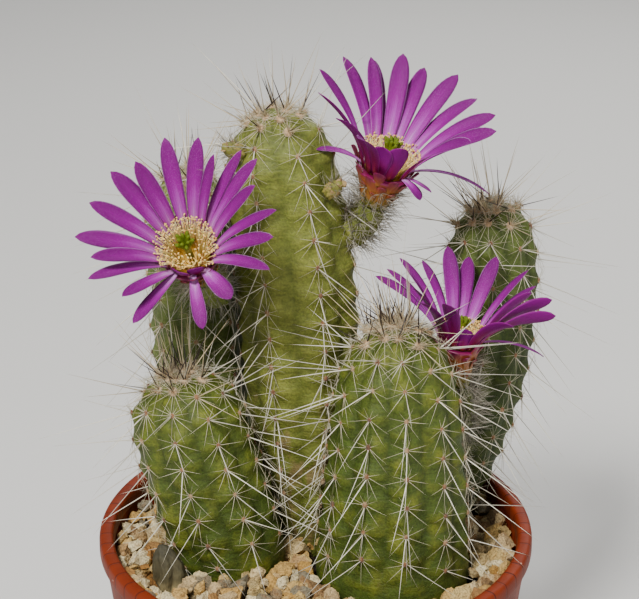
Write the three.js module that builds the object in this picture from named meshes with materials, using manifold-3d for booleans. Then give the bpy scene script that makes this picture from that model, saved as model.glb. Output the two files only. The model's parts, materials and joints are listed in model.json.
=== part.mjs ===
// A hedgehog cactus in its pot: five ribbed, spiny stems crowd out of the gravel of a round
// terracotta-coloured plastic pot, and three of them carry a magenta flower.
// Millimetres, +Z up. The pot stands on z = 0 with its axis on Z, and the front is -Y.
import * as THREE from 'three'
import { mergeVertices } from 'three/addons/utils/BufferGeometryUtils.js'
import Module from 'manifold-3d'

const wasm = await Module()
wasm.setup()

// ---------------------------------------------------------------- driving dimensions

const GAP = 0.35 // clearance between neighbouring pieces
const FLOWER_GAP = 0.45 // the same inside a flower, before the flower is scaled
const HOLE_GAP = 0.5 // clearance around a stem where it stands in gravel and soil

const POT = {
  height: 115,
  rimRadius: 75,
  rimInner: 69.8,
  lipHeight: 6,
  lipProud: 1.5,
  footRadius: 60,
  wall: 2.6,
  floor: 3.2,
  sides: 28,
  lipRound: 1.4, // how far the lip's upper edges are rounded off
  drainHoles: 4,
  drainRadius: 4.5,
  drainCircle: 36
}

const SOIL_TOP = 97
const GRAVEL_BED = 103 // height of the dips between the surface stones
const GRAVEL_TOP = 106 // about level with the tops of the surface stones
const STONE_RADIUS = 7.4 // half size of a surface stone
const STONE_PEAK = 3.8 // how far a stone rises over the dips between stones

const AREOLE_SPACING = 10.2 // along a rib
const RIB_DEPTH = 0.13 // depth of a furrow as a share of the stem's radius
const TUBERCLE = 0.55 // swelling of the rib at an areole
const SPINE_RADIUS = 0.5
const SPINE_LENGTH = 29
const SPINE_ROOT = 1.8 // how deep a spine is rooted in the flesh
const SPINE_SHARE = 0.61 // share of the areoles that bear their long spine here

// A stem follows a cubic Bezier axis from its root to its crown. foot, body and shoulder
// steer its radius. It widens from its root up to the share neck of the axis, and its crown
// closes from the share crown on. turn is the angle of the first rib in degrees.
const STEMS = [
  {
    name: 'stem_front_right',
    axis: [[26, -9, 86], [27, -10, 120], [28.5, -9, 160], [26, -8, 195]],
    foot: 27, body: 26, shoulder: 17, neck: 0.18, root: 0.8, crown: 0.77,
    ribs: 11, turn: -84, colour: '#6f8f33'
  },
  {
    name: 'stem_front_left',
    axis: [[-24, -4, 87], [-31, -5, 118], [-42, -5, 146], [-46, -6, 175]],
    foot: 20, body: 21.5, shoulder: 18, neck: 0.45, root: 0.7, crown: 0.79,
    ribs: 9, turn: -98, colour: '#6d9433'
  },
  {
    name: 'stem_centre',
    axis: [[-4.5, 13, 86], [-3.5, 24, 130], [-3, 30, 195], [-14.5, 28, 256]],
    foot: 13.5, body: 26, shoulder: 17, neck: 0.5, root: 0.4, crown: 0.9,
    ribs: 7, turn: -118, colour: '#84983b'
  },
  {
    name: 'stem_right',
    axis: [[42, 23, 86], [48, 27.5, 125], [71.5, 56, 171], [60, 50, 214]],
    foot: 12, body: 20, shoulder: 14, neck: 0.55, root: 0.4, crown: 0.89,
    ribs: 9, turn: -95, colour: '#6a8a37'
  },
  {
    name: 'stem_back_left',
    axis: [[-36, 27, 86], [-39, 39, 120], [-41.6, 42, 175], [-44, 38.5, 231]],
    foot: 13, body: 20, shoulder: 14, neck: 0.35, root: 0.5, crown: 0.9,
    ribs: 8, turn: -90, colour: '#5f7d36'
  },
  {
    name: 'stem_withered',
    axis: [[-47.4, -21.6, 96], [-48.2, -21.8, 104], [-50, -22.4, 110], [-52, -22.6, 119.5]],
    foot: 5, body: 6.4, shoulder: 5, neck: 0.4, root: 0.7, crown: 0.55,
    ribs: 5, turn: 0, colour: '#6d6f52', bare: true
  }
]

// A flower grows from inside the flesh of its stem, round a knee, to its throat, where it
// faces along axis. Each petal has its angle around the axis, its tilts away from the axis at
// its foot and at its tip, in degrees, its length and its half width. A sixth number is the
// twist, in degrees, of a petal that turns about its own length.
const FLOWERS = [
  {
    name: 'flower_left', stem: 'stem_back_left',
    start: [-37, 31, 191], knee: [-29.5, 13, 194], throat: [-40.9, -3, 217],
    axis: [-0.108, -0.68, 0.72], scale: 1,
    petals: [
      [99, 18, 61, 33.5, 2.9], [78, 18, 59, 33.5, 2.8], [60, 12, 42, 33, 2.1],
      [50, 18, 62, 34.5, 1.9], [40, 19, 66, 35, 2.4], [21, 14, 49, 34, 2.6],
      [4, 18, 62, 35, 2.3], [347, 18, 61, 35, 2.5], [330, 20, 70, 35, 2.4],
      [309, 60, 98, 15, 3.2], [280, 80, 112, 18.5, 2.4], [240, 60, 76, 25.5, 2.1],
      [231, 40, 55, 27, 2.3], [212, 24, 65, 34, 2.1], [204, 16, 55, 34, 2.5],
      [186, 19, 65, 35, 3.1], [165, 16, 56, 33.5, 3.1], [140, 16, 54, 33, 3.2],
      [123, 13, 44, 32, 3]
    ]
  },
  {
    name: 'flower_top', stem: 'stem_centre',
    start: [6, 28, 211], knee: [17, 26, 214], throat: [22.8, 22, 237],
    axis: [0.24, -0.17, 0.955], scale: 1,
    petals: [
      [130, 18, 62, 35, 3], [117, 13, 46, 33, 2.6], [104, 21, 70, 34.5, 2],
      [90, 17, 57, 36.5, 3.3], [75, 19, 65, 35, 2.9], [53, 17, 58, 36.5, 3.2],
      [36, 20, 67, 34.5, 3], [6, 17, 58, 35.5, 3, 25], [344, 17, 58, 36, 3, 55],
      [317, 16, 53, 34, 3, 50], [169, 16, 54, 35.6, 2.3, -25], [198, 17, 57, 36, 2.8, 40],
      [250, 12, 26, 15, 3.6], [276, 12, 22, 16, 3.6], [241, 19, 65, 36, 2.6],
      [222, 18, 60, 35, 2.8, 30], [2, 60, 118, 30, 1.2]
    ]
  },
  {
    name: 'flower_right', stem: 'stem_front_right',
    start: [43, 5, 144], knee: [55, 16, 147], throat: [48.3, 9, 179],
    axis: [0.15, 0.03, 0.98], scale: 0.83,
    petals: [
      [171, 23, 77, 38, 2.4, -25], [163, 20, 69, 36.5, 2.2, -30], [150, 18, 60, 37, 2.6, -30],
      [196, 14, 46, 36, 2.6, -20], [123, 19, 66, 34.5, 2.5], [107, 14, 48, 37.5, 3.4],
      [87, 17, 58, 35.5, 3.3], [64, 15, 49, 37, 3.2], [33, 15, 51, 37, 2.4],
      [332, 13, 43, 36, 3.1, -55], [353, 19, 63, 37, 3.4, -75], [342, 22, 74, 37, 3.8, -75],
      [248, 17, 57, 36, 3.6], [229, 19, 64, 36, 3.2], [300, 21, 68, 33, 3.8, -30],
      [15, 16, 54, 34, 2.6], [211, 16, 52, 34, 2.6], [12, 70, 118, 31, 1.3]
    ]
  }
]
const OVARY_RADIUS = 6.2
const OVARY_SHARE = 0.62 // share of the flower's path that is ovary, the rest is tube
const OVARY_SIDES = 8
const TUBE_SIDES = 12
const BRISTLE_ROWS = 3
const BRISTLES_PER_ROW = 6
const BRISTLE_LENGTH = 9
const THROAT_RADIUS = 9.3
const THROAT_BORE = 6.6
const THROAT_DEPTH = 6
const PETAL_THICKNESS = 1
const STAMENS = 9
const ANTHER_RADIUS = 0.95
const STYLE_RADIUS = 1.25
const STYLE_TOP = 8.5 // height of the style over the throat
const STIGMA_LOBES = 5
const LOBE_RADIUS = 0.85

// A bud sits on a stem at the share up of its axis and at the angle at, in degrees. seat is
// how far its foot stands off the round skin, which the facets reach past by a little.
const BUDS = [
  { name: 'bud_left', stem: 'stem_centre', up: 0.945, at: 218, seat: 0.35, length: 10, radius: 3.2 },
  { name: 'bud_right', stem: 'stem_centre', up: 0.85, at: -38, seat: 0.7, length: 9, radius: 2.9 }
]

// ---------------------------------------------------------------- helpers

const UP = new THREE.Vector3(0, 0, 1)
const RIGHT = new THREE.Vector3(1, 0, 0)
const { clamp, degToRad, lerp } = THREE.MathUtils

const vector = (point) => new THREE.Vector3(...point)

// A repeatable value from 0 to 1 for a place in a pattern.
function chance(a, b, c) {
  const wave = Math.sin(a * 127.1 + b * 311.7 + c * 74.7) * 43758.5453
  return wave - Math.floor(wave)
}

// A repeatable value from -size to size.
function jitter(size, a, b, c) {
  return (chance(a, b, c) * 2 - 1) * size
}

// The place where an angle around a direction points, square to the direction.
function around(direction, angle) {
  const first = RIGHT.clone().addScaledVector(direction, -direction.dot(RIGHT)).normalize()
  const second = direction.clone().cross(first)
  return first.multiplyScalar(Math.cos(angle)).addScaledVector(second, Math.sin(angle))
}

function solid(geometry) {
  const plain = geometry.clone()
  plain.deleteAttribute('normal')
  plain.deleteAttribute('uv')
  const merged = mergeVertices(plain, 1e-4)
  return new wasm.Manifold(new wasm.Mesh({
    numProp: 3,
    vertProperties: new Float32Array(merged.attributes.position.array),
    triVerts: new Uint32Array(merged.index.array)
  }))
}

// A closed skin from a start point through rings of points to an end point. The rings run
// anticlockwise as seen from the end.
function skin(start, rings, end) {
  const sides = rings[0].length
  const points = [start, ...rings.flat(), end]
  const index = []
  for (let side = 0; side < sides; side++) {
    const next = (side + 1) % sides
    index.push(0, 1 + next, 1 + side)
    for (let ring = 0; ring < rings.length - 1; ring++) {
      const low = 1 + ring * sides
      const high = low + sides
      index.push(low + side, low + next, high + next)
      index.push(low + side, high + next, high + side)
    }
    const last = 1 + (rings.length - 1) * sides
    index.push(last + side, last + next, points.length - 1)
  }
  const geometry = new THREE.BufferGeometry().setFromPoints(points)
  geometry.setIndex(index)
  return geometry
}

// A ring of points around a centre, square to a direction.
function ring(centre, direction, radius, sides) {
  return Array.from({ length: sides }, (_, side) => {
    const angle = (side / sides) * Math.PI * 2
    return around(direction, angle).multiplyScalar(radius).add(centre)
  })
}

// A three-sided cone from a centre of its base to its point.
function needle(base, point, radius) {
  const length = base.distanceTo(point)
  const direction = point.clone().sub(base).normalize()
  const turn = new THREE.Quaternion().setFromUnitVectors(new THREE.Vector3(0, 1, 0), direction)
  const cone = new THREE.ConeGeometry(radius, length, 3)
  cone.translate(0, length / 2, 0)
  cone.applyQuaternion(turn)
  cone.translate(...base)
  return cone
}

function lathe(profile, sides) {
  const geometry = new THREE.LatheGeometry(profile.map(([r, z]) => new THREE.Vector2(r, z)), sides)
  return geometry.rotateX(Math.PI / 2)
}

const model = new THREE.Group()

function place(name, shape, colour, roughness) {
  const mesh = shape.getMesh()
  const geometry = new THREE.BufferGeometry()
  geometry.setAttribute('position', new THREE.BufferAttribute(mesh.vertProperties, 3))
  geometry.setIndex(new THREE.BufferAttribute(mesh.triVerts, 1))
  const material = new THREE.MeshStandardMaterial({ color: colour, roughness, metalness: 0 })
  material.flatShading = true
  const piece = new THREE.Mesh(geometry, material)
  piece.name = name
  model.add(piece)
}

// ---------------------------------------------------------------- pot

const WALL_TOP = POT.height - POT.lipHeight
const WALL_RADIUS = POT.rimRadius - POT.lipProud
const DRAIN_SIDES = 7

// The pot's inner radius at a height below its lip.
function innerRadius(z) {
  const share = z / WALL_TOP
  return lerp(POT.footRadius, WALL_RADIUS, share) - POT.wall
}

function makePot() {
  const bead = POT.lipHeight / 3
  let pot = solid(lathe([
    [0, 0],
    [POT.footRadius, 0],
    [WALL_RADIUS, WALL_TOP],
    [POT.rimRadius, WALL_TOP + 0.5],
    [POT.rimRadius, POT.height - bead],
    [POT.rimRadius - POT.lipRound, POT.height],
    [POT.rimInner + POT.lipRound, POT.height],
    [POT.rimInner, POT.height - bead],
    [innerRadius(WALL_TOP), WALL_TOP - 1],
    [innerRadius(POT.floor), POT.floor],
    [0, POT.floor]
  ], POT.sides))
  for (let hole = 0; hole < POT.drainHoles; hole++) {
    const drill = new THREE.CylinderGeometry(
      POT.drainRadius, POT.drainRadius, POT.floor * 3, DRAIN_SIDES)
    drill.rotateX(Math.PI / 2)
    drill.translate(POT.drainCircle, 0, 0)
    drill.rotateZ((hole / POT.drainHoles) * Math.PI * 2)
    pot = pot.subtract(solid(drill))
  }
  place('pot', pot, '#b4472b', 0.5)
}

// ---------------------------------------------------------------- stems

const AXIS_STEPS = 240 // steps in which the skin is measured
const CREST_OFFSET = 0.08 // how far a crest's corner lies beside its areoles, in ribs
const SHOULDER = 0.37 // where a rib meets the furrow on each side, in ribs
const SHOULDER_CREST = 0.35

// The form of a stem: its axis, its radius along the axis, and its areole levels.
function stemForm(stem) {
  const axis = new THREE.CubicBezierCurve3(...stem.axis.map(vector))
  const radius = (t) => {
    const low = (1 - t) ** 2 * stem.foot
    const middle = 2 * t * (1 - t) * stem.body
    const high = t ** 2 * stem.shoulder
    const widened = Math.sin(Math.min(1, t / stem.neck) * Math.PI / 2)
    const closing = clamp((t - stem.crown) / (1 - stem.crown), 0, 1)
    const neck = lerp(stem.root, 1, widened)
    return (low + middle + high) * neck * Math.sqrt(1 - closing ** 2)
  }
  return { ...stem, axis, radius, levels: areoleLevels(axis, radius) }
}

// The shares of the axis at which areoles sit, from the crown down to the gravel. Two levels
// make one areole spacing, and they crowd together at the crown, measured over the skin.
function areoleLevels(axis, radius) {
  const levels = []
  let distance = 0
  for (let step = 1; step <= AXIS_STEPS; step++) {
    const t = 1 - step / AXIS_STEPS
    const before = t + 1 / AXIS_STEPS
    const run = axis.getPoint(before).distanceTo(axis.getPoint(t))
    distance += Math.hypot(run, radius(before) - radius(t))
    const count = levels.length + 1
    const due = (AREOLE_SPACING / 2) * count ** 2 / (count + 2)
    if (axis.getPoint(t).z < GRAVEL_TOP + 4) break
    if (distance >= due) levels.push({ t, distance })
  }
  return levels
}

// A point of the skin. crest is 1 on a rib and 0 in a furrow, and swell is 1 at an areole.
function skinPoint(form, t, angle, crest, swell) {
  const centre = form.axis.getPoint(t)
  const flesh = form.radius(t)
  const relief = clamp((centre.z - GRAVEL_TOP) / 10, 0, 1)
  const furrow = (1 - crest) * RIB_DEPTH * flesh
  const lift = (swell * TUBERCLE * clamp(flesh / 10, 0, 1) - furrow) * relief
  return around(form.axis.getTangent(t), angle).multiplyScalar(flesh + lift).add(centre)
}

function ribAngle(form, rib) {
  return degToRad(form.turn) + (rib / form.ribs) * Math.PI * 2
}

// The shares of the axis where the part of a stem in the ground has rings.
const buriedShares = (form) => [0, form.levels.at(-1).t * 0.75]

function stemSkin(form) {
  const rings = buriedShares(form).map((t) => stemRing(form, t, -1))
  for (let level = form.levels.length - 1; level >= 0; level--) {
    rings.push(stemRing(form, form.levels[level].t, level))
  }
  return skin(form.axis.getPoint(0), rings, form.axis.getPoint(1))
}

// One ring of a stem, with a crest and two shoulders for each rib. The corners lie a little
// beside the line of areoles, so that each spine grows from the middle of a face.
function stemRing(form, t, level) {
  const points = []
  const pitch = (Math.PI * 2) / form.ribs
  for (let rib = 0; rib < form.ribs; rib++) {
    const angle = ribAngle(form, rib) - pitch * CREST_OFFSET
    const swell = level < 0 ? 0 : isAreole(rib, level) ? 1 : -1
    points.push(skinPoint(form, t, angle, 1, swell))
    points.push(skinPoint(form, t, angle + pitch * SHOULDER, SHOULDER_CREST, 0))
    points.push(skinPoint(form, t, angle + pitch * (1 - SHOULDER), SHOULDER_CREST, 0))
  }
  return points
}

// Neighbouring ribs bear their areoles half a spacing apart.
function isAreole(rib, level) {
  return (rib + level) % 2 === 0
}

// An areole sits a little above the swelling of its rib.
function areoleShare(form, level) {
  return lerp(form.levels[level].t, form.levels[level - 1].t, 0.4)
}

// A plain copy of the buried part of a stem, wide enough to clear it, which cuts its hole.
function holeCutter(form, sides) {
  const shares = [...buriedShares(form), form.levels.at(-1).t, form.levels.at(-2).t]
  const rings = shares.map((t) => {
    const radius = (form.radius(t) + HOLE_GAP) / Math.cos(Math.PI / sides)
    return ring(form.axis.getPoint(t), form.axis.getTangent(t), radius, sides)
  })
  const bottom = form.axis.getPoint(0)
  for (const point of [bottom, ...rings[0]]) {
    point.z -= HOLE_GAP
  }
  return solid(skin(bottom, rings, form.axis.getPoint(shares.at(-1))))
}

// ---------------------------------------------------------------- flowers

// The form of a flower: the path of its ovary and tube, and its own frame at the throat.
function flowerForm(flower) {
  const axis = vector(flower.axis).normalize()
  const throat = vector(flower.throat)
  const path = new THREE.CubicBezierCurve3(
    vector(flower.start), vector(flower.knee), throat.clone().addScaledVector(axis, -12), throat)
  return { ...flower, axis, throat, path }
}

// A point of a flower from its distance out from the axis and along it.
function flowerPoint(form, angle, out, along) {
  return form.throat.clone()
    .addScaledVector(around(form.axis, angle), out * form.scale)
    .addScaledVector(form.axis, along * form.scale)
}

function ovaryRadius(form, share) {
  const belly = Math.sin(clamp(share, 0, 1) * Math.PI)
  return form.scale * OVARY_RADIUS * lerp(0.76, 1, belly)
}

function ovarySkin(form) {
  const shares = [0, 0.2, 0.4, 0.6, 0.8, 1]
  const rings = shares.map((share) => {
    const t = share * OVARY_SHARE
    return ring(
      form.path.getPoint(t), form.path.getTangent(t), ovaryRadius(form, share), OVARY_SIDES)
  })
  return skin(form.path.getPoint(0), rings, form.path.getPoint(OVARY_SHARE))
}

function makeTube(form) {
  const low = OVARY_SHARE + 0.02
  const shares = [low, lerp(low, 1, 0.35), lerp(low, 1, 0.7)]
  const rings = shares.map((t, at) => {
    const radius = lerp(ovaryRadius(form, 1), THROAT_RADIUS * form.scale, (at / 3) ** 1.2)
    return ring(form.path.getPoint(t), form.path.getTangent(t), radius, TUBE_SIDES)
  })
  for (const [out, along] of [[THROAT_RADIUS, 0], [THROAT_BORE, 0], [2.8, -THROAT_DEPTH]]) {
    rings.push(ring(flowerPoint(form, 0, 0, along), form.axis, out * form.scale, TUBE_SIDES))
  }
  const tube = solid(skin(form.path.getPoint(low), rings, flowerPoint(form, 0, 0, -THROAT_DEPTH)))
  place(`${form.name}_tube`, tube, '#9a6a2c', 0.6)
}

const PETAL_STATIONS = [0, 0.34, 0.74, 1]
const PETAL_INSET = 1.3 // how far inside the throat's edge a petal's foot stands
const PETAL_RAISED = 1.2 // how high its foot stands over the throat
const PETAL_BEND = 0.7 // below 1, a petal bends most near its foot
const PETAL_FOOT = 0.42 // width of its foot as a share of its widest
const PETAL_WIDEST = 0.7 // share of its length where it is widest
const PETAL_TIP = 2.4 // above 2, its tip is blunter than half an ellipse

// Where a petal runs: its centre line and half width at each station, and its own frame.
function petalForm([degrees, foot, tip, length, width, twist = 0]) {
  const stations = []
  let out = THROAT_RADIUS - PETAL_INSET
  let along = PETAL_RAISED
  let before = 0
  for (const share of PETAL_STATIONS) {
    const tilt = degToRad(lerp(foot, tip, ((share + before) / 2) ** PETAL_BEND))
    out += Math.sin(tilt) * (share - before) * length
    along += Math.cos(tilt) * (share - before) * length
    const widening = Math.sin(Math.min(1, share / PETAL_WIDEST) * Math.PI / 2)
    const closing = clamp((share - PETAL_WIDEST) / (1 - PETAL_WIDEST), 0, 1)
    const ending = lerp(PETAL_FOOT, 1, widening) * Math.sqrt(1 - closing ** PETAL_TIP)
    stations.push({ out, along, tilt, half: width * ending, turn: degToRad(twist) * share })
    before = share
  }
  return { angle: degToRad(degrees), stations }
}

// A petal: thickest at its midrib, with both edges raised a little.
function petalSkin(form, petal) {
  const { angle, stations } = petalForm(petal)
  const outward = around(form.axis, angle)
  const across = form.axis.clone().cross(outward)
  const rings = stations.slice(0, -1).map(({ out, along, tilt, half, turn }) => {
    const middle = flowerPoint(form, angle, out, along)
    const face = form.axis.clone().multiplyScalar(Math.sin(tilt))
      .addScaledVector(outward, -Math.cos(tilt))
    const wide = across.clone().multiplyScalar(Math.cos(turn))
      .addScaledVector(face, Math.sin(turn))
    const normal = face.clone().multiplyScalar(Math.cos(turn))
      .addScaledVector(across, -Math.sin(turn))
    const corner = (side, height) => middle.clone()
      .addScaledVector(wide, side * half * form.scale).addScaledVector(normal, height)
    const edge = half * 0.14
    return [
      corner(-1, edge),
      corner(0, -PETAL_THICKNESS / 2),
      corner(1, edge),
      corner(0, PETAL_THICKNESS / 2)
    ]
  })
  const tip = stations.at(-1)
  const base = flowerPoint(form, angle, stations[0].out, stations[0].along)
  return skin(base, rings, flowerPoint(form, angle, tip.out, tip.along))
}

function makePetals(form) {
  const rim = [
    [THROAT_BORE + FLOWER_GAP, FLOWER_GAP],
    [THROAT_RADIUS, FLOWER_GAP],
    [THROAT_RADIUS + 0.3, 1.6],
    [THROAT_BORE + FLOWER_GAP, 2.2]
  ]
  let petals = solid(turned(form, rim, TUBE_SIDES))
  for (const petal of form.petals) {
    petals = petals.add(solid(petalSkin(form, petal)))
  }
  place(`${form.name}_petals`, petals, '#a3139c', 0.55)
}

// A closed ring on a flower's axis from a section given as distances out and along.
function turned(form, section, sides) {
  const closed = [...section, section[0]]
  const geometry = lathe(closed, sides)
  const turn = new THREE.Quaternion().setFromUnitVectors(UP, form.axis)
  geometry.scale(form.scale, form.scale, form.scale)
  return geometry.applyQuaternion(turn).translate(...form.throat)
}

function makeStamens(form) {
  const bottom = -THROAT_DEPTH + 1.3 * FLOWER_GAP
  const bore = STYLE_RADIUS + 1.2 * FLOWER_GAP
  const core = [
    [bore, bottom],
    [bore + 0.6, bottom],
    [THROAT_BORE - FLOWER_GAP, 0.6],
    [THROAT_BORE - FLOWER_GAP, 1.8],
    [3, 2.2],
    [bore, 0.6]
  ]
  let stamens = solid(turned(form, core, 10))
  for (let stamen = 0; stamen < STAMENS; stamen++) {
    const angle = (stamen / STAMENS) * Math.PI * 2
    const outer = stamen % 2 === 0
    const root = flowerPoint(form, angle, outer ? 4.4 : 3.4, 0.4)
    const anther = flowerPoint(form, angle, outer ? 8.3 : 5.6, outer ? 8.4 : 9)
    stamens = stamens.add(solid(needle(anther, root, ANTHER_RADIUS * form.scale)))
  }
  place(`${form.name}_stamens`, stamens, '#e3c458', 0.8)
}

function makeStigma(form) {
  const top = STYLE_TOP
  const bottom = -THROAT_DEPTH + FLOWER_GAP
  const style = [[0, bottom], [STYLE_RADIUS, bottom], [STYLE_RADIUS, top], [0, top]]
  let stigma = solid(turned(form, style, 6))
  for (let lobe = 0; lobe < STIGMA_LOBES; lobe++) {
    const angle = (lobe / STIGMA_LOBES) * Math.PI * 2
    const root = flowerPoint(form, angle, 0.7, top - 1)
    const tip = flowerPoint(form, angle, 3.1, top + 3.6)
    stigma = stigma.add(solid(needle(root, tip, LOBE_RADIUS * form.scale)))
  }
  place(`${form.name}_stigma`, stigma, '#5f9a22', 0.5)
}

// ---------------------------------------------------------------- spines

// What a spine of one stem must stay clear of: balls that fill the other pieces, and the
// spines that other stems already bear.
function fillWithBalls(stems, flowers, buds) {
  const balls = []
  const fill = (owner, centre, radius) => balls.push({ owner, centre, radius })
  for (const form of stems) {
    for (let t = 0; t < 1; t += 0.02) {
      fill(form.name, form.axis.getPoint(t), form.radius(t) + TUBERCLE)
    }
  }
  for (const form of flowers) {
    for (let t = 0; t < OVARY_SHARE; t += 0.05) {
      fill(form.stem, form.path.getPoint(t), ovaryRadius(form, t / OVARY_SHARE))
    }
    for (let t = OVARY_SHARE; t < 1; t += 0.05) {
      fill(form.name, form.path.getPoint(t), THROAT_RADIUS * form.scale)
    }
    fill(form.name, flowerPoint(form, 0, 0, 5), THROAT_RADIUS * form.scale)
    for (const petal of form.petals) {
      const { angle, stations } = petalForm(petal)
      for (let part = 0; part < 14; part++) {
        const step = (part / 14) * (stations.length - 1)
        const low = stations[Math.floor(step)]
        const high = stations[Math.floor(step) + 1]
        const share = step % 1
        const middle = flowerPoint(form, angle,
          lerp(low.out, high.out, share), lerp(low.along, high.along, share))
        const half = lerp(low.half, high.half, share) * form.scale
        fill(form.name, middle, half + PETAL_THICKNESS / 2)
      }
    }
  }
  for (const { name, centre, radius } of buds) {
    fill(name, centre, radius)
  }
  return balls
}

// Shortest distance between two line segments.
function segmentDistance(first, second) {
  const u = first.end.clone().sub(first.start)
  const v = second.end.clone().sub(second.start)
  const w = first.start.clone().sub(second.start)
  const a = u.dot(u)
  const b = u.dot(v)
  const c = v.dot(v)
  const d = u.dot(w)
  const e = v.dot(w)
  const scale = a * c - b * b
  let s = scale < 1e-9 ? 0 : clamp((b * e - c * d) / scale, 0, 1)
  const t = clamp((b * s + e) / c, 0, 1)
  s = clamp((b * t - d) / a, 0, 1)
  return w.addScaledVector(u, s).addScaledVector(v, -t).length()
}

// Whether a point lies in the pot's wall or lip, or in the gravel.
function inPotOrGravel(point) {
  const out = Math.hypot(point.x, point.y)
  const inWall = out > POT.rimInner - 2 && out < POT.rimRadius + 2
  const low = inWall ? POT.height + 1.5 : out < POT.rimRadius ? GRAVEL_TOP + 4 : 4
  return point.z < low
}

function isClear(spine, owner, balls, spines) {
  const line = new THREE.Line3(spine.start, spine.end)
  const near = new THREE.Vector3()
  for (let part = 2; part <= 12; part++) {
    if (inPotOrGravel(line.at(part / 12, near))) return false
  }
  for (const ball of balls) {
    if (ball.owner === owner) continue
    line.closestPointToPoint(ball.centre, true, near)
    if (near.distanceTo(ball.centre) < ball.radius + SPINE_RADIUS + GAP) return false
  }
  return !spines.some((other) =>
    other.owner !== owner && segmentDistance(line, other.line) < SPINE_RADIUS * 2 + GAP)
}

// Ways to bend a spine clear: degrees more lift, degrees of swing, and a share of its length.
const BENDS = [
  [0, 0, 1], [14, 0, 1], [0, 22, 1], [0, -22, 1], [-14, 0, 1], [30, 0, 1], [12, 42, 1],
  [12, -42, 1], [45, 25, 0.95], [45, -25, 0.95], [0, 0, 0.75], [25, 45, 0.75], [25, -45, 0.75],
  [60, 0, 0.8], [0, 62, 0.75], [0, -62, 0.75], [45, 0, 0.6], [0, 30, 0.5], [0, -30, 0.5],
  [75, 0, 0.5], [20, 62, 0.5], [20, -62, 0.5], [0, 0, 0.4]
]

// Grows one spine from a spot on the skin, bent clear of the other pieces, or none.
function growSpine(owner, spot, lift, length, balls, spines) {
  const side = spot.along.clone().cross(spot.out)
  for (const [more, swing, share] of BENDS) {
    const raised = degToRad(lift + more)
    const swung = degToRad(swing)
    const direction = spot.out.clone().multiplyScalar(Math.cos(raised) * Math.cos(swung))
      .addScaledVector(side, Math.cos(raised) * Math.sin(swung))
      .addScaledVector(spot.along, Math.sin(raised))
    const depth = SPINE_ROOT / Math.max(0.5, direction.dot(spot.out))
    const start = spot.point.clone().addScaledVector(direction, -depth)
      .addScaledVector(spot.out, -SPINE_ROOT / 2)
    const end = spot.point.clone().addScaledVector(direction, length * share)
    if (isClear({ start: spot.point, end }, owner, balls, spines)) {
      spines.push({ owner, line: new THREE.Line3(spot.point, end) })
      return solid(needle(start, end, SPINE_RADIUS))
    }
  }
  return null
}

// The angle that spines rise from a rib: up at the crown, and down on the older flesh.
const spineLift = (distance) => 125 * Math.exp(-distance / 24) - 45

function stemSpines(form, balls, spines) {
  const grown = []
  form.levels.forEach(({ t, distance }, level) => {
    for (let rib = 0; rib < form.ribs; rib++) {
      if (level === 0 || !isAreole(rib, level)) continue
      if (chance(rib, level, 11) > SPINE_SHARE) continue
      const angle = ribAngle(form, rib)
      const along = form.axis.getTangent(t)
      const point = skinPoint(form, areoleShare(form, level), angle, 1, 0.4)
      const swung = angle + degToRad(jitter(24, rib, level, form.ribs))
      const spot = { point, along, out: around(along, swung) }
      const lift = spineLift(distance) + jitter(12, rib, level, 5)
      const length = SPINE_LENGTH * (0.9 + 0.25 * chance(rib, level, 7))
      grown.push(growSpine(form.name, spot, lift, length, balls, spines))
    }
  })
  return grown.filter(Boolean)
}

function ovaryBristles(form, balls, spines) {
  const grown = []
  for (let row = 0; row < BRISTLE_ROWS; row++) {
    const share = 0.45 + row * 0.2
    const t = share * OVARY_SHARE
    const along = form.path.getTangent(t)
    for (let bristle = 0; bristle < BRISTLES_PER_ROW; bristle++) {
      const angle = ((bristle + (row % 2) / 2) / BRISTLES_PER_ROW) * Math.PI * 2
      const out = around(along, angle)
      const point = form.path.getPoint(t).addScaledVector(out, ovaryRadius(form, share) * 0.92)
      grown.push(growSpine(form.stem, { point, along, out }, 20, BRISTLE_LENGTH, balls, spines))
    }
  }
  return grown.filter(Boolean)
}

// ---------------------------------------------------------------- buds

// How far up its rib the skin is at an angle, from the furrow to the crest.
function crestAt(form, angle) {
  const ribs = (angle - ribAngle(form, 0)) / ((Math.PI * 2) / form.ribs)
  const beside = Math.abs(ribs - Math.round(ribs))
  return lerp(1, SHOULDER_CREST, Math.min(1, beside / SHOULDER))
}

function budForm(bud, stems) {
  const form = stems.find(({ name }) => name === bud.stem)
  const angle = degToRad(bud.at)
  const along = form.axis.getTangent(bud.up)
  const out = around(along, angle)
  const axis = out.clone().multiplyScalar(0.8).addScaledVector(along, 0.6).normalize()
  const base = skinPoint(form, bud.up, angle, crestAt(form, angle), 0)
    .addScaledVector(axis, bud.seat)
  return { ...bud, throat: base, axis, scale: 1, centre: base.clone().addScaledVector(axis, 4) }
}

function makeBud(form) {
  const { length, radius } = form
  const profile = [
    [0, 0], [radius * 0.35, 0.4], [radius, length * 0.4], [radius * 0.8, length * 0.7],
    [0, length]
  ]
  place(form.name, solid(turned(form, profile, 8)), '#a9a646', 0.7)
}

// ---------------------------------------------------------------- soil and gravel

const SOIL_HOLE_SIDES = 7
const GRAVEL_HOLE_SIDES = 12

function makeSoil(stems) {
  const low = POT.floor + GAP
  const soil = lathe([
    [0, low],
    [innerRadius(low) - GAP, low],
    [innerRadius(SOIL_TOP) - GAP, SOIL_TOP],
    [0, SOIL_TOP]
  ], POT.sides)
  const dug = stems.reduce(
    (rest, form) => rest.subtract(holeCutter(form, SOIL_HOLE_SIDES)), solid(soil))
  place('soil', dug, '#3b2c20', 0.95)
}

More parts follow.
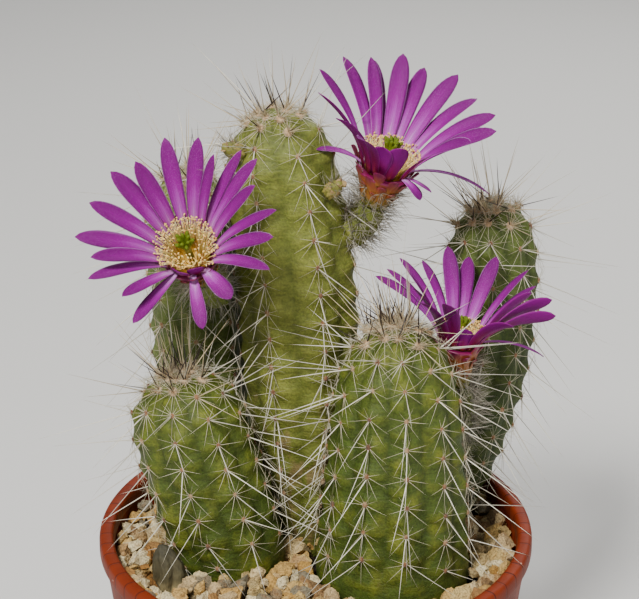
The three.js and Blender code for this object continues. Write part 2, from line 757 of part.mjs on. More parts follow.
// A surface stone: a six-sided block with a peak off its middle. Its corners are shared with
// its neighbours, so the stones cover the bed.
function stone(centre, row, column) {
  const corners = Array.from({ length: 6 }, (_, corner) => {
    const angle = (corner / 6 + 1 / 12) * Math.PI * 2
    const x = centre.x + STONE_RADIUS * Math.cos(angle)
    const y = centre.y + STONE_RADIUS * Math.sin(angle)
    const spot = [Math.round(x * 8), Math.round(y * 8)]
    return vector([
      x + jitter(STONE_RADIUS * 0.25, ...spot, 1),
      y + jitter(STONE_RADIUS * 0.25, ...spot, 2),
      GRAVEL_BED + jitter(0.8, ...spot, 3)
    ])
  })
  const peak = centre.clone()
  peak.x += jitter(STONE_RADIUS * 0.4, row, column, 4)
  peak.y += jitter(STONE_RADIUS * 0.4, row, column, 5)
  peak.z += STONE_PEAK * (0.8 + 0.4 * chance(row, column, 6))
  const foot = corners.map(({ x, y }) => vector([x, y, GRAVEL_BED - 3]))
  return solid(skin(centre.clone().setZ(GRAVEL_BED - 3), [foot, corners], peak))
}

function makeGravel(stems) {
  const low = SOIL_TOP + GAP
  const top = GRAVEL_TOP + STONE_PEAK
  const wall = lathe([
    [0, low], [innerRadius(low) - GAP, low], [innerRadius(low) - GAP, top], [0, top]
  ], POT.sides)
  const bed = new THREE.BoxGeometry(3 * POT.rimRadius, 3 * POT.rimRadius, GRAVEL_BED - 2 - low)
  let gravel = solid(bed.translate(0, 0, (GRAVEL_BED - 2 + low) / 2))
  const across = STONE_RADIUS * Math.sqrt(3)
  const reach = Math.ceil(POT.rimRadius / across)
  for (let row = -reach - 1; row <= reach + 1; row++) {
    for (let column = -reach; column <= reach; column++) {
      const x = across * (column + (Math.abs(row) % 2) / 2)
      const y = STONE_RADIUS * 1.5 * row
      if (Math.hypot(x, y) > POT.rimRadius + STONE_RADIUS) continue
      gravel = gravel.add(stone(vector([x, y, GRAVEL_BED]), row, column))
    }
  }
  gravel = gravel.intersect(solid(wall))
  for (const form of stems) {
    gravel = gravel.subtract(holeCutter(form, GRAVEL_HOLE_SIDES))
  }
  const bodies = gravel.decompose().sort((a, b) => b.volume() - a.volume())
  place('gravel', bodies[0], '#c9ad80', 0.95)
}

// ---------------------------------------------------------------- assembly

const stems = STEMS.map(stemForm)
const flowers = FLOWERS.map(flowerForm)
const buds = BUDS.map((bud) => budForm(bud, stems))
const balls = fillWithBalls(stems, flowers, buds)
const spines = []

makePot()
makeSoil(stems)
makeGravel(stems)
for (const form of stems) {
  let stem = solid(stemSkin(form))
  for (const flower of flowers.filter(({ stem: name }) => name === form.name)) {
    stem = stem.add(solid(ovarySkin(flower)))
    ovaryBristles(flower, balls, spines).forEach((bristle) => { stem = stem.add(bristle) })
  }
  if (!form.bare) {
    stemSpines(form, balls, spines).forEach((spine) => { stem = stem.add(spine) })
  }
  place(form.name, stem, form.colour, 0.6)
}
for (const form of flowers) {
  makeTube(form)
  makePetals(form)
  makeStamens(form)
  makeStigma(form)
}
buds.forEach(makeBud)

export default model
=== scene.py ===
"""A hedgehog cactus in its pot: ribbed, spiny stems in gravel, with three magenta flowers.

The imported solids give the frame. Each section makes one piece, or one group of like pieces.
Sizes are in millimetres, and a mesh is scaled to metres as it is made.
"""
import json
import math

import bpy
import numpy as np
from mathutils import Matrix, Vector
from mathutils.bvhtree import BVHTree

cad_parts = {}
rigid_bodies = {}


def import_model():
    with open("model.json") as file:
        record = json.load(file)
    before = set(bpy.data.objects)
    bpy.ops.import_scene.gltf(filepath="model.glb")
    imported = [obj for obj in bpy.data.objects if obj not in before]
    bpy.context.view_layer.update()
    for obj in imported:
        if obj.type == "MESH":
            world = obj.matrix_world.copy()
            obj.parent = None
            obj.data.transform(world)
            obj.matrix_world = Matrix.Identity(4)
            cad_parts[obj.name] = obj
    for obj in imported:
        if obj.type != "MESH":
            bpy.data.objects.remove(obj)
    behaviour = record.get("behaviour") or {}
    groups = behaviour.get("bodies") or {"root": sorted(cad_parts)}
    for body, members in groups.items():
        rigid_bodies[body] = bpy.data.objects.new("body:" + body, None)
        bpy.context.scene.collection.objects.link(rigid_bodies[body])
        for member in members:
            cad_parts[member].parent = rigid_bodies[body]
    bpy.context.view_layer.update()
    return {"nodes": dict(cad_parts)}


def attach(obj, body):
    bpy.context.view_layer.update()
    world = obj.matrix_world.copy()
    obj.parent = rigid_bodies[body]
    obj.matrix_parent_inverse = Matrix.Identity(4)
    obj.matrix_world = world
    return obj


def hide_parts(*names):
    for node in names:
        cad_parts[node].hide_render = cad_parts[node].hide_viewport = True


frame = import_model()

MM = 0.001


# ---------------------------------------------------------------- camera, light and floor
# The plant stands on a plain pale floor, lit softly from the upper left and seen from a
# little above its flowers.

EYE = (1.3, -606.2, 465.0)
LOOK_DOWN = 23.63
LENS = 112.7
FLOOR_SIZE = 8000
FLOOR_COLOUR = "#DAD8D3"
SKY_COLOUR = "#F2F4F7"
SKY_STRENGTH = 0.36
PLANT_MIDDLE = (0, 0, 160)
SOFTBOXES = [  # name, place, watts and width of each, all of which face the plant's middle
    ("key_light", (-300, -680, 1060), 21, 200),
    ("fill_light", (900, -500, 500), 3, 900),
    ("back_light", (300, 900, 900), 8, 700),
]


def linear(hex_colour):
    """Turns an sRGB hex colour into Blender's linear colour."""
    channels = [int(hex_colour[at:at + 2], 16) / 255 for at in (1, 3, 5)]
    return [c / 12.92 if c < 0.04045 else ((c + 0.055) / 1.055) ** 2.4 for c in channels] + [1]


def plug(made, inputs):
    """Fills a node's inputs, by name or in their order, with values, hex colours or links."""
    for name, value in inputs.items() if isinstance(inputs, dict) else enumerate(inputs):
        if isinstance(value, bpy.types.NodeSocket):
            made.id_data.links.new(value, made.inputs[name])
        else:
            made.inputs[name].default_value = linear(value) if isinstance(value, str) else value


def node(tree, kind, inputs=(), stops=(), out=0, **settings):
    """Adds a shader node and gives one of its outputs. stops are a ramp's colours."""
    made = tree.nodes.new("ShaderNode" + kind)
    for name, value in settings.items():
        setattr(made, name, value)
    plug(made, inputs)
    for at, (place, hex_colour) in enumerate(stops):
        elements = made.color_ramp.elements
        element = elements[at] if at < len(elements) else elements.new(place)
        element.position = place
        element.color = linear(hex_colour)
    return made.outputs[out]


def finish(name):
    """A new material, its node tree and its Principled shader."""
    material = bpy.data.materials.new(name)
    material.use_nodes = True
    return material, material.node_tree, material.node_tree.nodes["Principled BSDF"]


# Matt paper sweep: an even, pale backdrop with no gloss.
paper, tree, shader = finish("matt_backdrop_paper")
plug(shader, {"Base Color": FLOOR_COLOUR, "Roughness": 0.9})

bpy.ops.object.select_all(action="DESELECT")
bpy.ops.mesh.primitive_plane_add(size=FLOOR_SIZE * MM)
floor = bpy.context.object
floor.name = "floor"
floor.data.materials.append(paper)

camera = bpy.data.objects.new("camera", bpy.data.cameras.new("camera"))
camera.data.lens = LENS
camera.location = [value * MM for value in EYE]
camera.rotation_euler = (math.radians(90 - LOOK_DOWN), 0, 0)
bpy.context.collection.objects.link(camera)
bpy.context.scene.camera = camera

for name, place, watts, width in SOFTBOXES:
    light = bpy.data.lights.new(name, "AREA")
    light.energy = watts
    light.size = width * MM
    lamp = bpy.data.objects.new(name, light)
    lamp.location = Vector(place) * MM
    aim = Vector(PLANT_MIDDLE) * MM - lamp.location
    lamp.rotation_euler = aim.to_track_quat("-Z", "Y").to_euler()
    bpy.context.collection.objects.link(lamp)
world = bpy.data.worlds.new("studio")
world.use_nodes = True
plug(world.node_tree.nodes["Background"], {"Color": SKY_COLOUR, "Strength": SKY_STRENGTH})
bpy.context.scene.world = world


# ---------------------------------------------------------------- pot
# A round nursery pot of thin polypropylene, injection moulded in one shot with a rolled lip.
# It stands on its flat base, which has four drain holes.

POT_HEIGHT = 115
RIM_RADIUS = 75
RIM_INNER = 69.8
LIP_HEIGHT = 6
LIP_PROUD = 1.5
LIP_CURVE = 3.4
FOOT_RADIUS = 60
POT_WALL = 2.6
POT_FLOOR = 3.2
DRAIN_HOLES = 4
DRAIN_RADIUS = 4.5
DRAIN_CIRCLE = 36
POT_STEPS = 144
LIP_STEPS = 15
LIP_SQUARED = 0.6  # below 1, the round of the lip is drawn out towards a square
DRILL_SIDES = 32
MERGE_WITHIN = 0.01
SHARP_FROM = 32  # degrees between two faces from which their edge is sharp
MOULD_LINES = 66

WALL_TOP = POT_HEIGHT - LIP_HEIGHT
WALL_RADIUS = RIM_RADIUS - LIP_PROUD


def inner_radius(z):
    """The pot's inner radius at a height below its lip."""
    return FOOT_RADIUS + (WALL_RADIUS - FOOT_RADIUS) * z / WALL_TOP - POT_WALL


def pick(piece):
    """Makes a piece the only one that is selected, and the active one."""
    bpy.ops.object.select_all(action="DESELECT")
    piece.select_set(True)
    bpy.context.view_layer.objects.active = piece


def shape_of(piece):
    """The points and faces of a piece's mesh."""
    return (np.array([vertex.co[:] for vertex in piece.data.vertices]),
            [tuple(face.vertices) for face in piece.data.polygons])


lip_middle = (RIM_RADIUS + RIM_INNER) / 2
lip_half = (RIM_RADIUS - RIM_INNER) / 2
lip_arc = [
    (lip_middle + lip_half * math.copysign(abs(math.cos(angle)) ** LIP_SQUARED, math.cos(angle)),
     POT_HEIGHT - LIP_CURVE + LIP_CURVE * math.sin(angle) ** LIP_SQUARED)
    for angle in np.linspace(0, math.pi, LIP_STEPS)
]
outline = [  # radius and height, from the middle of the base over the lip to the inside
    (0, 0),
    (FOOT_RADIUS - 1.2, 0),
    (FOOT_RADIUS - 0.3, 0.4),
    (FOOT_RADIUS + 0.1, 1.4),
    (WALL_RADIUS - 0.6, WALL_TOP - 4),
    (WALL_RADIUS, WALL_TOP - 0.6),
    (RIM_RADIUS - 0.3, WALL_TOP),
    (RIM_RADIUS, WALL_TOP + 0.7),
    *lip_arc,
    (RIM_INNER, WALL_TOP + 0.6),
    (inner_radius(WALL_TOP - 1), WALL_TOP - 1),
    (inner_radius(POT_FLOOR + 2), POT_FLOOR + 2),
    (inner_radius(POT_FLOOR) - 2, POT_FLOOR),
    (0, POT_FLOOR),
]
mesh = bpy.data.meshes.new("pot_dressed")
mesh.from_pydata([(radius * MM, 0, height * MM) for radius, height in outline],
                 [(at, at + 1) for at in range(len(outline) - 1)], [])
pot = bpy.data.objects.new("pot_dressed", mesh)
bpy.context.collection.objects.link(pot)
pick(pot)
bpy.ops.object.mode_set(mode="EDIT")
bpy.ops.mesh.select_all(action="SELECT")
bpy.ops.mesh.spin(steps=POT_STEPS, angle=math.tau, center=(0, 0, 0), axis=(0, 0, 1))
bpy.ops.mesh.select_all(action="SELECT")
bpy.ops.mesh.remove_doubles(threshold=MERGE_WITHIN * MM)
bpy.ops.mesh.normals_make_consistent(inside=False)
bpy.ops.object.mode_set(mode="OBJECT")
for hole in range(DRAIN_HOLES):
    turn = math.tau * hole / DRAIN_HOLES
    bpy.ops.object.select_all(action="DESELECT")
    bpy.ops.mesh.primitive_cylinder_add(
        vertices=DRILL_SIDES, radius=DRAIN_RADIUS * MM, depth=4 * POT_FLOOR * MM,
        location=(DRAIN_CIRCLE * math.cos(turn) * MM, DRAIN_CIRCLE * math.sin(turn) * MM, 0),
        rotation=(0, 0, math.pi / DRILL_SIDES))
    drill = bpy.context.object
    cut = pot.modifiers.new("drain_hole", "BOOLEAN")
    cut.operation = "DIFFERENCE"
    cut.object = drill
    pick(pot)
    bpy.ops.object.modifier_apply(modifier=cut.name)
    bpy.data.objects.remove(drill)
pick(pot)
bpy.ops.object.mode_set(mode="EDIT")
bpy.ops.mesh.select_all(action="SELECT")
bpy.ops.mesh.remove_doubles(threshold=MERGE_WITHIN * MM)
bpy.ops.object.mode_set(mode="OBJECT")

# The cuts leave the points and faces in a new order each run, so here they are sorted.
points, faces = shape_of(pot)
order = np.lexsort(points.T)
rank = np.argsort(order)
sides = []
for face in faces:
    side = [int(rank[point]) for point in face]
    first = side.index(min(side))
    sides.append(side[first:] + side[:first])
pot.data.clear_geometry()
pot.data.from_pydata(points[order], [], sorted(sides))
bpy.ops.object.shade_smooth_by_angle(angle=math.radians(SHARP_FROM))

# Moulded polypropylene: a satin, even terracotta colour in clouds of 14 mm, with fine lines
# down the mould every 7 mm, a little dust and a few pale specks, at most one every 5 mm. Its
# grain is drawn 0.7 mm wide, coarser than life, so that it shows.
polypropylene, tree, shader = finish("moulded_polypropylene")
place = node(tree, "TexCoord", out="Object")
across = node(tree, "SeparateXYZ", [place]).node.outputs
angle = node(tree, "Math", (across["Y"], across["X"]), operation="ARCTAN2")
turns = node(tree, "Math", (angle, MOULD_LINES / math.tau), operation="MULTIPLY")
beside = node(tree, "Math", (turns, 0.5), operation="PINGPONG")
line = node(tree, "MapRange", (beside, 0.02, 0.06, 1.0, 0.0))
uneven = node(tree, "TexNoise", {"Vector": place, "Scale": 70.0, "Detail": 3.0})
strength = node(tree, "MapRange", (uneven, 0.35, 0.6, 0.5, 1.0))
faded = node(tree, "Math", (line, strength), operation="MULTIPLY")
blotch = node(tree, "ValToRGB", [uneven], [(0.3, "#6A2206"), (0.7, "#7E2C0A")])
lined = node(tree, "MixRGB", (faded, blotch, "#3E140C"))
cells = node(tree, "TexVoronoi", {"Vector": place, "Scale": 190.0})
speck = node(tree, "MapRange", (cells, 0.04, 0.08, 0.6, 0.0))
few = node(tree, "Math", (cells.node.outputs["Color"], 0.6), operation="GREATER_THAN")
specks = node(tree, "Math", (speck, few), operation="MULTIPLY")
dusty = node(tree, "MixRGB", (specks, lined, "#E0B49C"))
grain = node(tree, "TexNoise", {"Vector": place, "Scale": 1400.0, "Detail": 2.0})
rough = node(tree, "MapRange", (grain, 0.0, 1.0, 0.48, 0.62))
height = node(tree, "Math", (faded, -1.5, grain), operation="MULTIPLY_ADD")
bump = node(tree, "Bump", {"Height": height, "Strength": 0.25, "Distance": 0.0003})
plug(shader, {"Base Color": dusty, "Roughness": rough, "Specular IOR Level": 0.2,
              "Normal": bump})

pot.data.materials.append(polypropylene)
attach(pot, "root")
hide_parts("pot")


# ---------------------------------------------------------------- soil
# Gritty, peaty potting mix. It fills the pot under the gravel, and its solid keeps its shape.

# Potting mix: dark, crumbly and matt, with paler grit, in crumbs of 2.4 mm.
potting_mix, tree, shader = finish("peat_and_grit")
place = node(tree, "TexCoord", out="Object")
crumbs = node(tree, "TexVoronoi", {"Vector": place, "Scale": 420.0})
crumb_colour = node(tree, "ValToRGB", [crumbs.node.outputs["Color"]],
                    [(0.2, "#1D140D"), (0.75, "#3B2A1C"), (0.95, "#7A6650")])
bump = node(tree, "Bump", {"Height": crumbs, "Strength": 0.8, "Distance": 0.001})
plug(shader, {"Base Color": crumb_colour, "Roughness": 0.95, "Normal": bump})

soil = frame["nodes"]["soil"]
soil.data.materials.clear()
soil.data.materials.append(potting_mix)


# ---------------------------------------------------------------- stems
# Succulent, ribbed stems with a tough, waxy skin. Each rib is a row of low tubercles, and
# each tubercle bears an areole. The same sizes shape the solids.

GRAVEL_TOP = 106
AREOLE_SPACING = 10.2
LOWEST_AREOLE = 4  # above the gravel
AREOLE_RAISED = 0.4  # share of the way to the areoles above, so that it sits on its tubercle
AREOLE_SWELL = 0.9
CROWN_LEAN = 1.3  # how near the crown areoles turn up to it, in radii of the shoulder
LEVELS_BELOW = 6  # rows of tubercles that go on below the lowest areoles
RIB_DEPTH = 0.13
RIB_ROUNDING = 1.5
CREST_DROP = 0.62  # how far crest falls from 1 on a rib to a furrow's bottom
RIBS_FROM = 10  # the ribs grow out over this height above the gravel
TUBERCLE = 0.6
TUBERCLE_ROUNDING = 1.4
SLENDER = 10  # a stem thinner than this has lower tubercles
AXIS_STEPS = 240
RIB_COLUMNS = 14
ROW_SPACING = 1.25
CROWN_ROWS = 26
SKIN_BOTTOM = 94
AGED_BELOW = 120  # the skin is fully aged this far below the crown
SKIN_RIPPLES = [(0.3, 17), (0.12, 5)]  # height and size of the skin's unevenness

STEMS = [
    dict(name="stem_front_right",
         axis=[(26, -9, 86), (27, -10, 120), (28.5, -9, 160), (26, -8, 195)],
         foot=27, body=26, shoulder=17, neck=0.18, root=0.8, crown=0.77, ribs=11, turn=-84),
    dict(name="stem_front_left",
         axis=[(-24, -4, 87), (-31, -5, 118), (-42, -5, 146), (-46, -6, 175)],
         foot=20, body=21.5, shoulder=18, neck=0.45, root=0.7, crown=0.79, ribs=9, turn=-98),
    dict(name="stem_centre",
         axis=[(-4.5, 13, 86), (-3.5, 24, 130), (-3, 30, 195), (-14.5, 28, 256)],
         foot=13.5, body=26, shoulder=17, neck=0.5, root=0.4, crown=0.9, ribs=7, turn=-118),
    dict(name="stem_right",
         axis=[(42, 23, 86), (48, 27.5, 125), (71.5, 56, 171), (60, 50, 214)],
         foot=12, body=20, shoulder=14, neck=0.55, root=0.4, crown=0.89, ribs=9, turn=-95),
    dict(name="stem_back_left",
         axis=[(-36, 27, 86), (-39, 39, 120), (-41.6, 42, 175), (-44, 38.5, 231)],
         foot=13, body=20, shoulder=14, neck=0.35, root=0.5, crown=0.9, ribs=8, turn=-90),
]
STUB = dict(name="stem_withered",
            axis=[(-47.4, -21.6, 96), (-48.2, -21.8, 104), (-50, -22.4, 110),
                  (-52, -22.6, 119.5)],
            foot=5, body=6.4, shoulder=5, neck=0.4, root=0.7, crown=0.55, ribs=5, turn=0)


def unit(vectors):
    """Vectors of length one."""
    return vectors / np.linalg.norm(vectors, axis=-1, keepdims=True)


def bezier(corners, t):
    """Points of a cubic Bezier curve at the shares t."""
    a, b, c, d = (np.array(corner, float) for corner in corners)
    t = np.asarray(t, float)[..., None]
    return (1 - t) ** 3 * a + 3 * (1 - t) ** 2 * t * b + 3 * (1 - t) * t ** 2 * c + t ** 3 * d


def bezier_way(corners, t):
    """The directions of a cubic Bezier curve at the shares t."""
    a, b, c, d = (np.array(corner, float) for corner in corners)
    t = np.asarray(t, float)[..., None]
    return unit((1 - t) ** 2 * (b - a) + 2 * (1 - t) * t * (c - b) + t ** 2 * (d - c))


def around(direction, angle):
    """Where an angle around a direction points, square to the direction."""
    first = unit(np.array([1.0, 0, 0]) - direction * direction[..., :1])
    second = np.cross(direction, first)
    angle = np.asarray(angle)[..., None]
    return first * np.cos(angle) + second * np.sin(angle)


class Stem:
    """A ribbed stem on a Bezier axis, which widens from its root and closes at its crown."""

    def __init__(self, **sizes):
        self.__dict__.update(sizes)
        self.levels = self.areole_levels()
        shares = [share for share, _ in self.levels][::-1]
        step = shares[1] - shares[0]
        last = len(shares) - 1
        self.level_shares = [shares[0] - LEVELS_BELOW * step, *shares, 1]
        self.level_counts = [last + LEVELS_BELOW, *range(last, -1, -1), -1]

    def radius(self, t):
        t = np.asarray(t, float)
        swept = (1 - t) ** 2 * self.foot + 2 * t * (1 - t) * self.body + t ** 2 * self.shoulder
        widened = np.sin(np.minimum(1, t / self.neck) * math.pi / 2)
        closing = np.clip((t - self.crown) / (1 - self.crown), 0, 1)
        return swept * (self.root + (1 - self.root) * widened) * np.sqrt(1 - closing ** 2)

    def areole_levels(self):
        """Shares of the axis with areoles, and how far over the skin each is from the crown."""
        levels = []
        distance = 0
        for step in range(1, AXIS_STEPS + 1):
            low, high = 1 - step / AXIS_STEPS, 1 - (step - 1) / AXIS_STEPS
            run = np.linalg.norm(bezier(self.axis, high) - bezier(self.axis, low))
            distance += math.hypot(run, self.radius(high) - self.radius(low))
            count = len(levels) + 1
            if bezier(self.axis, low)[2] < GRAVEL_TOP + LOWEST_AREOLE:
                break
            if distance >= AREOLE_SPACING / 2 * count ** 2 / (count + 2):
                levels.append((low, distance))
        return levels

    def skin(self, t, angle, crest, swell):
        """Points of the skin. crest is 1 on a rib, and swell is 1 on a tubercle."""
        centre = bezier(self.axis, t)
        flesh = self.radius(t)
        relief = np.clip((centre[..., 2] - GRAVEL_TOP) / RIBS_FROM, 0, 1)
        bulge = swell * TUBERCLE * np.clip(flesh / SLENDER, 0, 1)
        lift = (bulge - (1 - crest) * RIB_DEPTH * flesh) * relief
        return centre + around(bezier_way(self.axis, t), angle) * (flesh + lift)[..., None]

    def rib_angle(self, rib):
        return math.radians(self.turn) + math.tau * rib / self.ribs

    def areoles(self):
        """Each areole's distance from the crown, its point, and its own and the stem's ways."""
        for level, (share, distance) in enumerate(self.levels):
            above = self.levels[level - 1][0] if level else (1 + share) / 2
            for rib in range(level % 2, self.ribs, 2):
                angle = np.array(self.rib_angle(rib))
                t = np.array(share + (above - share) * AREOLE_RAISED)
                up = bezier_way(self.axis, np.array(share))
                out = around(up, angle)
                lean = np.clip(1 - distance / (CROWN_LEAN * self.shoulder), 0, 1)
                normal = unit(out * (1 - lean) + up * lean)
                yield dict(distance=distance, point=self.skin(t, angle, 1, AREOLE_SWELL),
                           out=normal, up=unit(up - normal * normal.dot(up) + 1e-6),
                           flat_out=out, flat_up=up)


def solid(name, points, faces, uv=None, is_smooth=True):
    """An object from points in millimetres. uv gives one (u, v) for each point."""
    mesh = bpy.data.meshes.new(name)
    mesh.from_pydata((np.asarray(points) * MM).tolist(), [], faces)
    mesh.polygons.foreach_set("use_smooth", [is_smooth] * len(mesh.polygons))
    if uv is not None:
        corners = np.fromiter((at for face in faces for at in face), int)
        layer = mesh.uv_layers.new(name="UVMap")
        layer.data.foreach_set("uv", np.asarray(uv, np.float32)[corners].ravel())
    piece = bpy.data.objects.new(name, mesh)
    bpy.context.collection.objects.link(piece)
    return piece


def grid_faces(rows, columns):
    """Quads of a tube of rings, with a cap point after the rings at each end."""
    faces = []
    for row in range(rows - 1):
        low, high = row * columns, (row + 1) * columns
        for at in range(columns):
            after = (at + 1) % columns
            faces.append((low + at, low + after, high + after, high + at))
    bottom, top = rows * columns, rows * columns + 1
    last = (rows - 1) * columns
    for at in range(columns):
        after = (at + 1) % columns
        faces += [(bottom, after, at), (last + at, last + after, top)]
    return faces


def mark(piece, name, values):
    """Stores one number for each point of a piece, for its material."""
    layer = piece.data.attributes.new(name, "FLOAT", "POINT")
    layer.data.foreach_set("value", np.asarray(values, np.float32).ravel())


def ripple(points, size):
    """A smooth, repeatable unevenness from -1 to 1 with bumps of about a size."""
    x, y, z = (points[..., axis] * math.tau / size for axis in range(3))
    return (np.sin(x + 0.7 * z + 1) * np.sin(y - 0.6 * x + 2) +
            np.sin(z * 0.9 + 0.5 * y + 4) * np.sin(x * 0.6 + y * 0.5)) / 2


def fine_skin(stem):
    """The stem's skin in full detail, with what its material reads."""
    steps = np.linspace(0, 1, 50)
    low = np.interp(SKIN_BOTTOM, bezier(stem.axis, steps)[:, 2], steps)
    length = np.linalg.norm(np.array(stem.axis[3]) - stem.axis[0])
    rows = int((stem.crown - low) * length / ROW_SPACING)
    body = np.linspace(low, stem.crown, rows, endpoint=False)
    closing = np.sin(np.linspace(0, math.pi / 2, CROWN_ROWS, endpoint=False))
    shares = np.concatenate([body, stem.crown + (1 - stem.crown) * closing])
    columns = stem.ribs * RIB_COLUMNS
    ribs = np.arange(columns) / RIB_COLUMNS
    beside = np.abs(ribs - np.round(ribs)) * 2
    crest = np.broadcast_to(1 - CREST_DROP * beside ** RIB_ROUNDING, (len(shares), columns))
    count = np.interp(shares, stem.level_shares, stem.level_counts)[:, None]
    wave = (1 + np.cos(math.pi * (count + AREOLE_RAISED - np.round(ribs)[None, :]))) / 2
    swell = (2 * wave ** TUBERCLE_ROUNDING - 1) * crest
    t = np.broadcast_to(shares[:, None], crest.shape)
    angle = np.broadcast_to(stem.rib_angle(0) + ribs * math.tau / stem.ribs, crest.shape)
    points = stem.skin(t, angle, crest, swell)
    out = around(bezier_way(stem.axis, t), angle)
    uneven = sum(height * ripple(points, size) for height, size in SKIN_RIPPLES)
    points = np.concatenate([
        (points + out * uneven[..., None]).reshape(-1, 3),
        [bezier(stem.axis, low), bezier(stem.axis, 1.0)]])
    piece = solid(stem.name + "_skin", points, grid_faces(len(shares), columns))
    mark(piece, "crest", [*crest.ravel(), 1, 1])
    mark(piece, "swell", [*swell.ravel(), 0, 0])
    mark(piece, "age", np.clip(
        (bezier(stem.axis, 1.0)[2] - points[:, 2]) / AGED_BELOW, 0, 1))
    return piece


def cactus_skin(name, young, grown, fleck_and_highlight, furrow_shade, cork):
    """Waxy cactus skin: satin and a little see-through, with a painted highlight on the
    tubercles and painted shade in the furrows, yellow flecks, and corky patches low on an old
    stem. The flecks are some 6 mm wide and the creases 1.2 mm. The mottling is partly the
    skin's own and partly painted: glints of light on the wrinkles and shade in their hollows.
    It is drawn 0.8 mm wide, coarser than life, so that it shows."""
    material, tree, shader = finish(name)
    place = node(tree, "TexCoord", out="Object")
    crest, swell, age = (node(tree, "Attribute", out="Fac", attribute_name=read)
                         for read in ("crest", "swell", "age"))
    tall = node(tree, "Mapping", {"Vector": place, "Scale": (1, 1, 0.55)})
    cloud = node(tree, "TexNoise", {"Vector": tall, "Scale": 160.0, "Detail": 5.0})
    flat = node(tree, "Mapping", {"Vector": place, "Scale": (0.3, 0.3, 1)})
    creases = node(tree, "TexNoise", {"Vector": flat, "Scale": 850.0, "Detail": 4.0})
    mottle = node(tree, "TexNoise", {"Vector": place, "Scale": 1300.0, "Detail": 3.0})
    aged = node(tree, "ValToRGB", [age], [(0.02, young), (0.3, grown)])
    fleck = node(tree, "MapRange", (cloud, 0.5, 0.68, 0.0, 0.7))
    flecked = node(tree, "MixRGB", (fleck, aged, fleck_and_highlight))
    # Painted shade: the colour darkens towards each furrow's bottom, where shade falls.
    shade = node(tree, "MapRange", (crest, 0.38, 0.8, 0.55, 0.0))
    creased = node(tree, "MixRGB", (shade, flecked, furrow_shade))
    # Painted highlight: the tubercles are made paler, as if lit from above. The same pale colour
    # also paints the real yellow flecks.
    pale = node(tree, "MapRange", (swell, 0.1, 1.1, 0.0, 0.5))
    lit = node(tree, "MixRGB", (pale, creased, fleck_and_highlight))
    low = node(tree, "Math", (age, cloud), operation="MULTIPLY")
    corky = node(tree, "MapRange", (low, 0.5, 0.62))
    barked = node(tree, "MixRGB", (corky, lit, cork))
    # The mottle is partly the skin's own and partly painted: glints of light on the wrinkles'
    # ridges and painted shade in their hollows.
    wrinkled = node(tree, "Math", (mottle, creases), operation="ADD")
    mottle_and_glints = node(tree, "MapRange", (wrinkled, 0.75, 1.25, 0.72, 1.26))
    mottled = node(tree, "MixRGB", (1.0, barked, mottle_and_glints), blend_type="MULTIPLY")
    bump = node(tree, "Bump", {"Height": wrinkled, "Strength": 0.5, "Distance": 0.0006})
    plug(shader, {"Base Color": mottled, "Roughness": 0.6, "Specular IOR Level": 0.28,
                  "Subsurface Weight": 0.12, "Subsurface Radius": (0.4, 1.0, 0.15),
                  "Subsurface Scale": 0.0025, "Normal": bump})
    return material


fresh_skin = cactus_skin(
    "waxy_fresh_skin", "#4E5816", "#425018", "#6C701E", "#2A360C", "#75653D")
# Middle stem: its body below the crown is painted a little paler. This is partly its yellowed age
# and partly painted light.
yellowed_lit_skin = cactus_skin(
    "waxy_yellowed_skin", "#62692A", "#6A6F2A", "#7E8036", "#4A521A", "#7A6B3E")
# Right stem: its older skin below the crown is painted much darker. This is partly its real age and
# partly painted shadow from the front right stem.
deep_green_shaded_skin = cactus_skin(
    "waxy_deep_green_skin", "#566228", "#344016", "#5C662A", "#222E0C", "#6E613F")
grey_skin = cactus_skin(
    "waxy_grey_green_skin", "#747E3A", "#56622C", "#747C3C", "#36421A", "#6E613F")
skins = dict(stem_front_right=fresh_skin, stem_front_left=fresh_skin,
             stem_centre=yellowed_lit_skin, stem_right=deep_green_shaded_skin, stem_back_left=grey_skin)

stems = [Stem(**sizes) for sizes in STEMS]
for stem in stems:
    piece = fine_skin(stem)
    piece.data.materials.append(skins[stem.name])
    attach(piece, "root")
    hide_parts(stem.name)


# ---------------------------------------------------------------- withered stub
# The dead stump of a small stem, shrunken and dry, with its skin drawn into folds.

STUB_ROWS = 34
STUB_COLUMNS = 60
STUB_BOTTOM = 0.05
STUB_FOOT = 0.02
FOLD_DEPTH = 1.7
FOLD_WANDER = 0.8  # radians by which the folds wander round the stub, and how fast
FOLD_WAVES = 6
WRINKLE_DEPTH = 0.35
WRINKLE_SIZE = 3.5

stub = Stem(**STUB)
shares = np.concatenate([
    np.linspace(STUB_BOTTOM, stub.crown, STUB_ROWS // 2, endpoint=False),
    stub.crown + (1 - stub.crown) * np.sin(
        np.linspace(0, math.pi / 2, STUB_ROWS // 2, endpoint=False))])
t, angle = np.meshgrid(shares, np.arange(STUB_COLUMNS) / STUB_COLUMNS * math.tau, indexing="ij")
fold = np.abs(np.sin(angle * stub.ribs / 2 + FOLD_WANDER * np.sin(FOLD_WAVES * t)))
points = stub.skin(t, angle, 1, 0)
dent = FOLD_DEPTH * (1 - fold) * np.sin(t * math.pi) + WRINKLE_DEPTH * ripple(
    points, WRINKLE_SIZE)
points = points - around(bezier_way(stub.axis, t), angle) * dent[..., None]
points = np.concatenate([points.reshape(-1, 3),
                         [bezier(stub.axis, STUB_FOOT), bezier(stub.axis, 1.0)]])
piece = solid("stem_withered_skin", points, grid_faces(STUB_ROWS, STUB_COLUMNS))

# Dead cactus skin: dull olive grey, bleached to cream low down and darker towards the top,
# where painted shade stands for the shadow of the stem beside it; matt, and wrinkled about
# every millimetre.
dead_skin, tree, shader = finish("dried_cactus_skin")
place = node(tree, "TexCoord", out="Object")
height = node(tree, "SeparateXYZ", [place], out="Z")
share = node(tree, "MapRange", (height, 0.104, 0.121))
